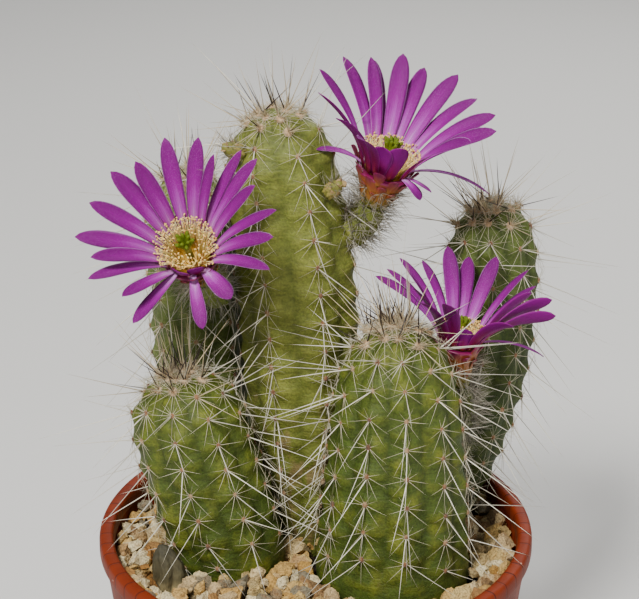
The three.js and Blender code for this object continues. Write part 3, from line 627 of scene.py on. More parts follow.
# The ramp runs up the stub: its cream foot is real bleaching, and its dark top is painted shade.
faded = node(tree, "ValToRGB", [share], [(0.0, "#94855A"), (0.25, "#585034"), (0.9, "#3C3826")])
folds = node(tree, "Mapping", {"Vector": place, "Scale": (1, 1, 0.3)})
wrinkles = node(tree, "TexNoise", {"Vector": folds, "Scale": 900.0, "Detail": 4.0})
dark = node(tree, "MapRange", (wrinkles, 0.35, 0.65, 0.75, 1.1))
worn = node(tree, "MixRGB", (1.0, faded, dark), blend_type="MULTIPLY")
bump = node(tree, "Bump", {"Height": wrinkles, "Strength": 0.7, "Distance": 0.0008})
plug(shader, {"Base Color": worn, "Roughness": 0.8, "Normal": bump})

piece.data.materials.append(dead_skin)
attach(piece, "root")
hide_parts("stem_withered")


# ---------------------------------------------------------------- gravel
# A top dressing of crushed pumice and sandstone: sharp, crumbly stones of 3 to 12 mm, poured
# loose on the soil round the stems.

STONE_KINDS = 14
STONE_CUTS = 8
STONE_BEDS = [  # height of the bed, stones' half size from and to, how far apart they lie
    (99.5, 4.4, 5.8, 9.4),
    (102.4, 4.0, 6.6, 8.0),
    (104.3, 1.9, 4.6, 6.4),
]
WALL_STONES = [  # the same of the rows of stones along the wall
    (103.5, 3.0, 5.0, 7.5),
    (106.5, 2.6, 4.6, 8.5),
]
WALL_GAP = 0.2
BED_JITTER = 0.3  # shares of their spacing by which stones stray
WALL_JITTER = 0.25
WALL_REACH = (0.85, 1.15)  # share of its half size by which a stone stands off the wall
STONE_SQUASH = 0.75
STONE_LIFT = 0.9
STEM_GAP = 0.55  # share of its half size by which a stone's middle stays off a stem
CHIP_DEPTHS = (0.4, 0.85)
CHIP_WEAR = 0.4
STONE_STRETCH = (0.85, 1.45)
STONE_BUMPS = [(0.13, 0.9), (0.1, 0.45)]  # height and size, in half sizes of the stone
FOOT_SHARE = 0.3  # the low share of a stem's axis, in which it meets the gravel
FOOT_STEPS = 12
HEAP_PLACE = (-22, -36)  # where the gravel is heaped against the foot of the left stem
HEAP_HEIGHT = 4.4
HEAP_WIDTH = 21
BED_SWELL = 0.8  # how high the even bed rises and falls, and how long its waves are
BED_WAVES = (17, 13)
RIM_CLEAR = 0.5
KEPT_IN = 0.8  # share of its half size by which a stone of the bed stays in the rim
ROW_SHARE = 0.9  # the rows of stones lie this much closer than the stones in a row
SMALLER = 1.6  # above 1, small stones are the most common
random = np.random.default_rng(7)


def stone_kind(kind):
    """The points and faces of one stone of half size 1, chipped from a ball."""
    bpy.ops.object.select_all(action="DESELECT")
    bpy.ops.mesh.primitive_ico_sphere_add(subdivisions=3, radius=1)
    piece = bpy.context.object
    bpy.ops.object.mode_set(mode="EDIT")
    for chip in range(STONE_CUTS):
        normal = unit(random.normal(size=3))
        bpy.ops.mesh.select_all(action="SELECT")
        bpy.ops.mesh.bisect(plane_co=tuple(normal * random.uniform(*CHIP_DEPTHS)),
                            plane_no=tuple(normal), use_fill=True, clear_outer=True)
    bpy.ops.mesh.select_all(action="SELECT")
    bpy.ops.mesh.quads_convert_to_tris(ngon_method="BEAUTY")
    bpy.ops.mesh.vertices_smooth(factor=CHIP_WEAR)
    bpy.ops.object.mode_set(mode="OBJECT")
    points, faces = shape_of(piece)
    bpy.data.objects.remove(piece)
    points = points * random.uniform(*STONE_STRETCH, 3)
    (high, wide), (low, narrow) = STONE_BUMPS
    bumps = high * ripple(points + kind, wide) + low * ripple(points - kind, narrow)
    return points * (1 + bumps[:, None]), faces


def turn_any_way():
    """A random turn in space."""
    axes, _ = np.linalg.qr(random.normal(size=(3, 3)))
    return axes if np.linalg.det(axes) > 0 else -axes


def in_a_stem(x, y, margin):
    """Whether a place on the gravel lies in a stem."""
    for stem in [*stems, stub]:
        shares = np.linspace(0, FOOT_SHARE, FOOT_STEPS)
        centres = bezier(stem.axis, shares)
        nearest = np.argmin(np.abs(centres[:, 2] - GRAVEL_TOP))
        away = math.hypot(x - centres[nearest, 0], y - centres[nearest, 1])
        if away < stem.radius(shares[nearest]) + margin:
            return True
    return False


def heaped(x, y):
    """How much higher the gravel lies at a place than on the even bed."""
    away = math.hypot(x - HEAP_PLACE[0], y - HEAP_PLACE[1]) / HEAP_WIDTH
    waves = math.sin(x / BED_WAVES[0]), math.sin(y / BED_WAVES[1])
    return HEAP_HEIGHT * math.exp(-away ** 2) + BED_SWELL * waves[0] * waves[1]


def bed_places():
    """Where each loose stone lies, with its half size."""
    for bed, smallest, largest, apart in STONE_BEDS:
        reach = int(RIM_INNER / apart) + 1
        for row in range(-reach, reach + 1):
            for column in range(-reach, reach + 1):
                x = apart * (column + row % 2 / 2)
                x += random.uniform(-BED_JITTER, BED_JITTER) * apart
                y = apart * ROW_SHARE * row + random.uniform(-BED_JITTER, BED_JITTER) * apart
                size = smallest + (largest - smallest) * random.random() ** SMALLER
                if math.hypot(x, y) < RIM_INNER - RIM_CLEAR - size * KEPT_IN:
                    yield x, y, bed + heaped(x, y), size
    for bed, smallest, largest, apart in WALL_STONES:
        count = int(math.tau * RIM_INNER / apart)
        for stone in range(count):
            size = random.uniform(smallest, largest)
            turn = math.tau * (stone + random.uniform(-WALL_JITTER, WALL_JITTER)) / count
            out = inner_radius(bed) - size * random.uniform(*WALL_REACH)
            yield out * math.cos(turn), out * math.sin(turn), bed, size


def merged(parts):
    """The points and faces of several shapes as those of one."""
    faces, start = [], 0
    for points, sides in parts:
        faces += [tuple(at + start for at in face) for face in sides]
        start += len(points)
    return np.concatenate([points for points, _ in parts]), faces


kinds = [stone_kind(kind) for kind in range(STONE_KINDS)]
stones, tints = [], []
for x, y, height, size in bed_places():
    if in_a_stem(x, y, size * STEM_GAP):
        continue
    shape, sides = kinds[random.integers(STONE_KINDS)]
    stone = shape @ turn_any_way().T * size * random.uniform(STONE_SQUASH, 1, 3) + (
        x, y, height + random.uniform(-STONE_LIFT, STONE_LIFT))
    inside = inner_radius(stone[:, 2]) - WALL_GAP
    inward = np.minimum(1, inside / np.hypot(stone[:, 0], stone[:, 1]))
    stone[:, :2] *= inward[:, None]
    stones.append((stone, sides))
    tints.append(np.full(len(shape), random.random()))
gravel = solid("gravel_stones", *merged(stones), is_smooth=False)
mark(gravel, "tint", np.concatenate(tints))

# Crushed pumice and sandstone: from cream through ochre to grey, each stone its own tint,
# matt, with pores of 0.7 mm and rusty stains of 3 mm.
pumice, tree, shader = finish("crushed_pumice")
place = node(tree, "TexCoord", out="Object")
tint = node(tree, "Attribute", out="Fac", attribute_name="tint")
stone_colour = node(tree, "ValToRGB", [tint], [
    (0.0, "#94825C"), (0.15, "#C8AC6E"), (0.4, "#B48A42"), (0.55, "#DCCC9E"),
    (0.82, "#98682A"), (0.96, "#7C735C")])
stain = node(tree, "TexNoise", {"Vector": place, "Scale": 330.0, "Detail": 6.0,
                                "Roughness": 0.65})
stained = node(tree, "MapRange", (stain, 0.5, 0.7, 0.0, 0.75))
rusty = node(tree, "MixRGB", (stained, stone_colour, "#7E5424"))
pores = node(tree, "TexNoise", {"Vector": place, "Scale": 1500.0, "Detail": 4.0})
pitted = node(tree, "MapRange", (pores, 0.33, 0.55, 0.5, 1.08))
porous = node(tree, "MixRGB", (1.0, rusty, pitted), blend_type="MULTIPLY")
bump = node(tree, "Bump", {"Height": pores, "Strength": 0.8, "Distance": 0.0008})
plug(shader, {"Base Color": porous, "Roughness": 0.9, "Normal": bump})

gravel.data.materials.append(pumice)
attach(gravel, "root")
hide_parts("gravel")


# ---------------------------------------------------------------- flowers
# A flower grows from an areole on a green, bristly ovary. Above it are a waxy orange-brown
# tube, two rows of silky petals and a few narrow outer ones that curl back, a cup of
# stamens, and a green stigma with upright lobes.

OVARY_RADIUS = 6.2
OVARY_SHARE = 0.62
THROAT_RADIUS = 9.3
THROAT_BORE = 6.6
THROAT_DEPTH = 6
PETAL_THICKNESS = 0.5
PETAL_INSET = 1.3
PETAL_RAISED = 1.2
PETAL_BEND = 0.7
TUBE_STRAIGHT = 12  # how far below the throat the path's last handle is, on the axis
TUBE_FLARE = 1.2
FLOWERS = [  # each petal: its angle, tilts at foot and tip, length, half width and any twist
    dict(name="flower_left", stem="stem_back_left",
         start=(-37, 31, 191), knee=(-29.5, 13, 194), throat=(-40.9, -3, 217),
         axis=(-0.108, -0.68, 0.72), scale=1,
         petals=[
             (99, 18, 61, 33.5, 2.9), (78, 18, 59, 33.5, 2.8), (60, 12, 42, 33, 2.1),
             (50, 18, 62, 34.5, 1.9), (40, 19, 66, 35, 2.4), (21, 14, 49, 34, 2.6),
             (4, 18, 62, 35, 2.3), (347, 18, 61, 35, 2.5), (330, 20, 70, 35, 2.4),
             (309, 60, 98, 15, 3.2), (280, 80, 112, 18.5, 2.4), (240, 60, 76, 25.5, 2.1),
             (231, 40, 55, 27, 2.3), (212, 24, 65, 34, 2.1), (204, 16, 55, 34, 2.5),
             (186, 19, 65, 35, 3.1), (165, 16, 56, 33.5, 3.1), (140, 16, 54, 33, 3.2),
             (123, 13, 44, 32, 3.0)],
         small=[(254, 24, 4, 5.5, 3.4), (290, 20, 0, 6.5, 2.9)]),
    dict(name="flower_top", stem="stem_centre",
         start=(6, 28, 211), knee=(17, 26, 214), throat=(22.8, 22, 237),
         axis=(0.24, -0.17, 0.955), scale=1,
         petals=[
             (130, 18, 62, 35, 3.0), (117, 13, 46, 33, 2.6), (104, 21, 70, 34.5, 2.0),
             (90, 17, 57, 36.5, 3.3), (75, 19, 65, 35, 2.9), (53, 17, 58, 36.5, 3.2),
             (36, 20, 67, 34.5, 3.0), (6, 17, 58, 35.5, 3.0, 25), (344, 17, 58, 36, 3.0, 55),
             (317, 16, 53, 34, 3.0, 50), (169, 16, 54, 35.6, 2.3, -25), (198, 17, 57, 36, 2.8, 40),
             (250, 12, 26, 15, 3.6), (276, 12, 22, 16, 3.6), (241, 19, 65, 36, 2.6),
             (222, 18, 60, 35, 2.8, 30)],
         small=[(2, 60, 118, 30, 1.2), (318, 85, 125, 9.5, 2.4), (333, 80, 106, 10, 1.5),
                (184, 45, 108, 17, 1.6), (176, 60, 101, 15, 1.3)]),
    dict(name="flower_right", stem="stem_front_right",
         start=(43, 5, 144), knee=(55, 16, 147), throat=(48.3, 9, 179),
         axis=(0.15, 0.03, 0.98), scale=0.83,
         petals=[
             (171, 23, 77, 38, 2.4, -25), (163, 20, 69, 36.5, 2.2, -30),
             (150, 18, 60, 37, 2.6, -30), (196, 14, 46, 36, 2.6, -20), (123, 19, 66, 34.5, 2.5),
             (107, 14, 48, 37.5, 3.4), (87, 17, 58, 35.5, 3.3), (64, 15, 49, 37, 3.2),
             (33, 15, 51, 37, 2.4), (332, 13, 43, 36, 3.1, -55), (353, 19, 63, 37, 3.4, -75),
             (342, 22, 74, 37, 3.8, -75), (248, 17, 57, 36, 3.6), (229, 19, 64, 36, 3.2),
             (300, 21, 68, 33, 3.8, -30), (15, 16, 54, 34, 2.6), (211, 16, 52, 34, 2.6)],
         small=[(12, 70, 118, 31, 1.3), (275, 12, 14, 10.5, 3.4)]),
]


class Flower:
    """A flower's path from its stem to its throat, and its own frame there."""

    def __init__(self, **sizes):
        self.__dict__.update(sizes)
        self.axis = unit(np.array(self.axis))
        self.throat = np.array(self.throat, float)
        self.path = [self.start, self.knee, self.throat - TUBE_STRAIGHT * self.axis, self.throat]

    def at(self, angle, out, along):
        """Points from their angle round the axis and distances out from it and along it."""
        out, along = np.asarray(out, float)[..., None], np.asarray(along, float)[..., None]
        return self.throat + self.scale * (around(self.axis, angle) * out + self.axis * along)

    def ovary_radius(self, share):
        return self.scale * OVARY_RADIUS * (0.76 + 0.24 * np.sin(np.clip(share, 0, 1) * math.pi))

    def tube_radius(self, part):
        narrow = self.ovary_radius(1)
        return narrow + (THROAT_RADIUS * self.scale - narrow) * np.clip(part, 0, 1) ** TUBE_FLARE


PETAL_ROWS = 16
PETAL_COLUMNS = 7
PETAL_SHARES = 1 - np.linspace(1, 0, PETAL_ROWS) ** 1.15
PETAL_FOOT = 0.42  # shares of its half width: a petal's foot, and what it gains from there
PETAL_GAIN = 0.58
PETAL_POINT = 0.05
WIDEST_FROM = 0.7  # share of its length from which a petal narrows to its tip
TIP_SHARE = 0.3
TIP_BLUNT = 2.1  # powers that shape the sides of the tip
TIP_ROUND = 0.62
CUP_ROUNDING = 1.3
PETAL_WAVE = 0.1
PETAL_THINNING = 0.6
PETAL_CUPS = (0.05, 0.3)  # how much a petal is hollowed across, from and to
PETAL_TWIST = 0.3  # radians by which petals twist at random, either way


def blade(origin, axis, scale, angle, spots, width, cup, twist):
    """One petal: a thin closed blade along spots, cupped across and drawn out to a point."""
    shares = PETAL_SHARES
    ways = unit(np.gradient(spots, axis=0))
    side = np.linspace(-1, 1, PETAL_COLUMNS)
    opening = PETAL_FOOT + PETAL_GAIN * np.sin(
        np.minimum(1, shares / WIDEST_FROM) * math.pi / 2)
    narrowed = np.clip((shares - WIDEST_FROM) / TIP_SHARE, 0, 1) ** TIP_BLUNT
    half = width * opening * np.maximum((1 - narrowed) ** TIP_ROUND, PETAL_POINT)
    outward = around(axis, angle)
    across = np.cross(axis, outward)
    face = axis * ways[:, :1] - outward * ways[:, 1:]
    turn = twist * shares[:, None]
    wide = across * np.cos(turn) + face * np.sin(turn)
    normal = face * np.cos(turn) - across * np.sin(turn)
    rise = cup * half[:, None] * np.abs(side) ** CUP_ROUNDING + PETAL_WAVE * np.sin(
        9 * shares[:, None] + 5 * side + angle * 7) * (1 - side ** 2)
    middle = (outward * spots[:, :1] + axis * spots[:, 1:])[:, None]
    middle = middle + wide[:, None] * (half[:, None] * side)[..., None]
    middle = middle + normal[:, None] * rise[..., None]
    thick = PETAL_THICKNESS / 2 * (1 - PETAL_THINNING * shares[:, None]) * np.sqrt(
        1.001 - side ** 2)
    over = middle + normal[:, None] * thick[..., None]
    below = middle[:, 1:-1] - normal[:, None] * thick[:, 1:-1, None]
    points = np.concatenate([over.reshape(-1, 3), below.reshape(-1, 3)])
    uv = np.stack(np.meshgrid(shares, side / 2 + 0.5, indexing="ij"), -1)
    uv = np.concatenate([uv.reshape(-1, 2), uv[:, 1:-1].reshape(-1, 2)])
    return origin + scale * points, uv


def blade_faces():
    """The faces of one petal, those of its upper side and those of its under side."""
    def low(row, column):
        if column in (0, PETAL_COLUMNS - 1):
            return row * PETAL_COLUMNS + column
        return (PETAL_ROWS * PETAL_COLUMNS) + row * (PETAL_COLUMNS - 2) + column - 1

    upper, under = [], []
    for row in range(PETAL_ROWS - 1):
        for column in range(PETAL_COLUMNS - 1):
            at = row * PETAL_COLUMNS + column
            upper.append((at, at + PETAL_COLUMNS, at + PETAL_COLUMNS + 1, at + 1))
            under.append((low(row, column), low(row, column + 1),
                          low(row + 1, column + 1), low(row + 1, column)))
    for row, order in ((0, -1), (PETAL_ROWS - 1, 1)):
        top = [row * PETAL_COLUMNS + column for column in range(PETAL_COLUMNS)]
        below = [low(row, column) for column in range(PETAL_COLUMNS - 2, 0, -1)]
        under.append(tuple((below[::-1] + top[::-1])[::order]))
    return upper, under


def curl(out, along, length, start_tilt, end_tilt, bend=1.0):
    """A centre line that leaves at one angle from the axis, in degrees, and ends at another."""
    middles = (PETAL_SHARES[1:] + PETAL_SHARES[:-1]) / 2
    tilt = np.radians(start_tilt + (end_tilt - start_tilt) * middles ** bend)
    run = np.stack([np.sin(tilt), np.cos(tilt)], -1) * (np.diff(PETAL_SHARES) * length)[:, None]
    return np.array([out, along]) + np.concatenate([[[0, 0]], np.cumsum(run, axis=0)])


def petal_silk(name, ramp, pale_margin_and_glint, painted_glint_amount):
    """Silky petal tissue: saturated towards the tip, paler at the foot, with a thin pale margin
    and veins of about 0.2 mm. Pale cells are mixed in as painted glints of light; they are
    drawn 0.3 mm wide, much coarser than life, so that they show."""
    material, tree, shader = finish(name)
    uv = node(tree, "UVMap", uv_map="UVMap")
    spot = node(tree, "SeparateXYZ", [uv]).node.outputs
    streak = node(tree, "Mapping", {"Vector": uv, "Scale": (1.6, 16, 1)})
    veins = node(tree, "TexNoise", {"Vector": streak, "Scale": 2.2, "Detail": 4.0})
    shift = node(tree, "Math", (veins, 0.6, -0.3), operation="MULTIPLY_ADD")
    along = node(tree, "Math", (spot["X"], shift), operation="ADD")
    off = node(tree, "Math", (spot["Y"], 0.5), operation="SUBTRACT")
    from_middle = node(tree, "Math", [off], operation="ABSOLUTE")
    deeper = node(tree, "Math", (from_middle, 0.5, along), operation="MULTIPLY_ADD")
    silk = node(tree, "ValToRGB", [deeper], ramp)
    margin = node(tree, "MapRange", (from_middle, 0.44, 0.5, 0.0, 0.9))
    edged = node(tree, "MixRGB", (margin, silk, pale_margin_and_glint))
    place = node(tree, "TexCoord", out="Object")
    # Painted highlight: small cells take the pale colour as glints of light.
    cells = node(tree, "TexVoronoi", {"Vector": place, "Scale": 3000.0})
    painted_glint = node(tree, "MapRange", (cells, 0.1, 0.4, painted_glint_amount, 0.0))
    glinted = node(tree, "MixRGB", (painted_glint, edged, pale_margin_and_glint))
    rib = node(tree, "Math", (veins, cells), operation="ADD")
    bump = node(tree, "Bump", {"Height": rib, "Strength": 0.35, "Distance": 0.0003})
    plug(shader, {"Base Color": glinted, "Roughness": 0.5, "Specular IOR Level": 0.14,
                  "Normal": bump})
    return material


# Each silk gets its ramp, one pale colour for its margin and its painted glints, and how strong
# those glints are.
petal_face = petal_silk("silky_petal_face", [
    (0.16, "#C48AC6"), (0.36, "#A03AA0"), (0.6, "#82007C"), (0.9, "#6A0064")], "#D092D0", 0.2)
petal_back = petal_silk("silky_petal_back", [
    (0.02, "#8A3A1C"), (0.22, "#76063E"), (0.7, "#74006C")], "#963486", 0.1)

upper, under = blade_faces()
flowers = [Flower(**sizes) for sizes in FLOWERS]
for number, flower in enumerate(flowers):
    random = np.random.default_rng(20 + number)
    blades = []
    for angle, foot, tip, length, half, *twist in flower.petals + flower.small:
        spots = curl(THROAT_RADIUS - PETAL_INSET, PETAL_RAISED, length, foot, tip, PETAL_BEND)
        blades.append(blade(
            flower.throat, flower.axis, flower.scale, math.radians(angle), spots, half,
            random.uniform(*PETAL_CUPS),
            math.radians(sum(twist)) + random.uniform(-PETAL_TWIST, PETAL_TWIST)))
    piece = solid(flower.name + "_silk", *merged([(points, upper + under) for points, _ in blades]),
                  np.concatenate([uv for _, uv in blades]))
    piece.data.polygons.foreach_set(
        "material_index", ([0] * len(upper) + [1] * len(under)) * len(blades))
    piece.data.materials.append(petal_face)
    piece.data.materials.append(petal_back)
    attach(piece, "root")
    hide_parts(flower.name + "_petals")


# ---------------------------------------------------------------- flower tubes and ovaries
# The waxy tube that carries the petals, with narrow scales pressed to it, and the green,
# knobbly ovary under it, which is part of the stem. Both grow as one with the stem.

TUBE_ROWS = 22
TUBE_COLUMNS = 48
FLUTES = 12
FLUTE_DEPTH = 0.025  # share of the tube's radius
TUBE_SCALES = 28
HIGHEST_SCALE = 0.94
SCALE_SEAT = 0.2  # how deep a scale's foot lies in the tube
SCALE_LENGTHS = (6, 2)  # length at the tube's foot, and what it gains up to its top
SCALE_WIDTHS = (1.3, 1.0)
SCALE_CUP = 0.25
SCALE_TURN = 2.4  # radians from one scale to the next
SCALE_TILT = 26
THROAT_PROFILE = [  # radius and height of the tube's end, from the petals down into the throat
    (THROAT_RADIUS, 0), (THROAT_RADIUS - 0.3, 0.35), (THROAT_BORE + 0.4, 0.35),
    (THROAT_BORE, 0), (THROAT_BORE - 1.2, -2.2), (2.8, -THROAT_DEPTH)]
OVARY_ROWS = 44
KNOBS = 4
KNOB_SWIRL = 0.36
KNOB_HEIGHT = 0.45
TUBE_OVERLAP = 0.02
FLUSH_FOOT = 0.12  # what the material reads: how red the tube is from its foot to its top,
FLUSH_TOP = 0.6
FLUSH_RIM = 0.9  # at its rim
FLUSH_INSIDE = -0.3  # and inside
OVARY_CREST = 0.8
OVARY_AGE = 0.12


def swept(rings, columns, bottom, top):
    """A closed skin of rings, each given as (centre, direction, radii)."""
    angle = np.arange(columns) / columns * math.tau
    points = [np.asarray(centre) + around(np.broadcast_to(way, (columns, 3)), angle) *
              (np.ones(columns) * radii)[:, None] for centre, way, radii in rings]
    return np.concatenate([*points, [bottom], [top]]), grid_faces(len(rings), columns)


# Waxy tube: olive orange low down, flushed red below the petals, a little glossy, in clouds
# of 2.4 mm.
tube_wax, tree, shader = finish("waxy_flower_tube")
flush = node(tree, "Attribute", out="Fac", attribute_name="flush")
place = node(tree, "TexCoord", out="Object")
cloud = node(tree, "TexNoise", {"Vector": place, "Scale": 420.0, "Detail": 4.0})
shift = node(tree, "Math", (cloud, 0.3, flush), operation="MULTIPLY_ADD")
waxy = node(tree, "ValToRGB", [shift], [
    (0.05, "#D0A63C"), (0.28, "#6A6E26"), (0.48, "#A06C2C"), (0.7, "#8C4426"),
    (0.95, "#760A46")])
bump = node(tree, "Bump", {"Height": cloud, "Strength": 0.4, "Distance": 0.0004})
plug(shader, {"Base Color": waxy, "Roughness": 0.4, "Subsurface Weight": 0.1,
              "Subsurface Scale": 0.001, "Normal": bump})

for number, flower in enumerate(flowers):
    random = np.random.default_rng(40 + number)
    low = OVARY_SHARE + TUBE_OVERLAP
    spin = np.arange(TUBE_COLUMNS) / TUBE_COLUMNS * math.tau
    rings = []
    for part in np.linspace(0, 1, TUBE_ROWS, endpoint=False):
        t = low + (1 - low) * part
        rings.append((bezier(flower.path, t), bezier_way(flower.path, t),
                      flower.tube_radius(part) * (1 + FLUTE_DEPTH * np.cos(spin * FLUTES))))
    for out, along in THROAT_PROFILE:
        rings.append((flower.at(0, 0, along), flower.axis, out * flower.scale))
    parts = [swept(rings, TUBE_COLUMNS, bezier(flower.path, low),
                   flower.at(0, 0, -THROAT_DEPTH))]
    flush = [np.linspace(FLUSH_FOOT, FLUSH_TOP, TUBE_ROWS).repeat(TUBE_COLUMNS),
             np.full(3 * TUBE_COLUMNS, FLUSH_RIM),
             np.full((len(THROAT_PROFILE) - 3) * TUBE_COLUMNS, FLUSH_INSIDE),
             [FLUSH_FOOT, FLUSH_INSIDE]]
    for scale in range(TUBE_SCALES):
        part = (scale + 0.5) / TUBE_SCALES
        t = low + (1 - low) * part * HIGHEST_SCALE
        spots = curl(flower.tube_radius(part * HIGHEST_SCALE) - SCALE_SEAT, 0,
                     (SCALE_LENGTHS[0] + SCALE_LENGTHS[1] * part) * flower.scale, SCALE_TILT,
                     SCALE_TILT + (6 + 16 * random.random()) * part, 2)
        points, uv = blade(bezier(flower.path, t), bezier_way(flower.path, t), 1,
                           scale * SCALE_TURN + number, spots,
                           (SCALE_WIDTHS[0] + SCALE_WIDTHS[1] * part) * flower.scale,
                           SCALE_CUP, 0)
        parts.append((points, upper + under))
        flush.append(0.08 + 0.38 * part + 0.5 * uv[:, 0] ** 1.2)
    piece = solid(flower.name + "_tube_wax", *merged(parts))
    mark(piece, "flush", np.concatenate(flush))
    piece.data.materials.append(tube_wax)
    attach(piece, "root")
    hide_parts(flower.name + "_tube")

    rings, swells = [], []
    for row in range(OVARY_ROWS):
        share = row / (OVARY_ROWS - 1)
        t = share * OVARY_SHARE
        knobs = (np.cos(KNOBS * spin + row * KNOB_SWIRL) *
                 np.cos(KNOBS * spin - row * KNOB_SWIRL))
        rings.append((bezier(flower.path, t), bezier_way(flower.path, t),
                      flower.ovary_radius(share) +
                      KNOB_HEIGHT * knobs * math.sin(share * math.pi)))
        swells.append(knobs)
    points, faces = swept(rings, TUBE_COLUMNS, bezier(flower.path, 0),
                          bezier(flower.path, OVARY_SHARE))
    piece = solid(flower.name + "_ovary_skin", points, faces)
    mark(piece, "crest", np.full(len(points), OVARY_CREST))
    mark(piece, "swell", [*np.concatenate(swells), 0, 0])
    mark(piece, "age", np.full(len(points), OVARY_AGE))
    piece.data.materials.append(skins[flower.stem])
    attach(piece, "root")
    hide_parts(flower.stem)


# ---------------------------------------------------------------- stamens
# Nearly three hundred stamens a flower, each a fine pale filament with a small oblong anther
# full of cream pollen. They grow in a crowded cup from the inside of the throat.

STAMEN_COUNT = 280
STAMEN_TURN = 2.39996  # radians from one stamen to the next
FILAMENT_RADIUS = 0.17
FILAMENT_BEND = 0.45
ANTHER_SIZE = (0.48, 0.28, 0.24)
ANTHER_ROOM = 0.9  # between a filament's tip and the petal outside it
ROOTS_OUT = (3, 3.1)  # where the stamens stand in the middle of the cup, and how much further
ROOTS_ALONG = (-3.6, 4.6)  # out and higher at its edge
TIPS_OUT = (3.2, 9.2)
TIPS_ALONG = (9.2, 1.6)


def needles(roots, ways, lengths, radii, bends, sides, rows, taper):
    """Closed, tapering needles as (points, faces), and each point's share of its length."""
    shares = np.arange(rows) / rows
    count = len(roots)
    line = roots[:, None] + ways[:, None] * (lengths[:, None] * shares)[..., None] + \
        bends[:, None] * (shares ** 2)[:, None]
    helper = np.where(np.abs(ways[:, 2:]) > 0.9, [[1.0, 0, 0]], [[0, 0, 1.0]])
    first = unit(np.cross(ways, helper))
    second = np.cross(ways, first)
    spin = np.arange(sides) / sides * math.tau
    ring = first[:, None] * np.cos(spin)[:, None] + second[:, None] * np.sin(spin)[:, None]
    thick = radii[:, None] * (1 - shares) ** taper
    points = line[:, :, None] + ring[:, None] * thick[..., None, None]
    tips = roots + ways * lengths[:, None] + bends
    points = np.concatenate([points.reshape(count, -1, 3), tips[:, None]], axis=1)
    faces = [tuple(range(sides))[::-1]]
    for row in range(rows - 1):
        for at in range(sides):
            low, after = row * sides, (at + 1) % sides
            faces.append((low + at, low + after, low + sides + after, low + sides + at))
    last = (rows - 1) * sides
    for at in range(sides):
        faces.append((last + at, last + (at + 1) % sides, rows * sides))
    along = np.tile([*np.repeat(shares, sides), 1], count)
    return merged([(needle, faces) for needle in points]), along


def lumps(middles, ways, sides, sizes):
    """Copies of a ball, stretched to sizes along way, side and square to both."""
    bpy.ops.object.select_all(action="DESELECT")
    bpy.ops.mesh.primitive_ico_sphere_add(subdivisions=2, radius=1)
    piece = bpy.context.object
    ball, faces = shape_of(piece)
    bpy.data.objects.remove(piece)
    return merged([(middle + (ball * size) @ np.array([way, side, np.cross(way, side)]), faces)
                   for middle, way, side, size in zip(middles, ways, sides, sizes)])


# Filament: a translucent, pale yellow thread, deeper yellow towards its foot.
filament, tree, shader = finish("pale_filament")
along = node(tree, "Attribute", out="Fac", attribute_name="along")
threads = node(tree, "ValToRGB", [along],
               [(0.0, "#E4C04C"), (0.5, "#EED67E"), (1.0, "#F0DCA0")])
plug(shader, {"Base Color": threads, "Roughness": 0.5, "Subsurface Weight": 0.2,
              "Subsurface Scale": 0.0005})

# Pollen: powdery cream to yellow, quite matt, with the tan of the anther showing through.
# Its grains are too fine to show, so the powder lies in clumps of 1.1 mm.
pollen, tree, shader = finish("cream_pollen")
place = node(tree, "TexCoord", out="Object")
dust = node(tree, "TexNoise", {"Vector": place, "Scale": 900.0, "Detail": 3.0})
powder = node(tree, "ValToRGB", [dust],
              [(0.32, "#C0824A"), (0.45, "#E6BC66"), (0.65, "#F2D884")])
bump = node(tree, "Bump", {"Height": dust, "Strength": 0.5, "Distance": 0.0003})
plug(shader, {"Base Color": powder, "Roughness": 0.85, "Normal": bump})

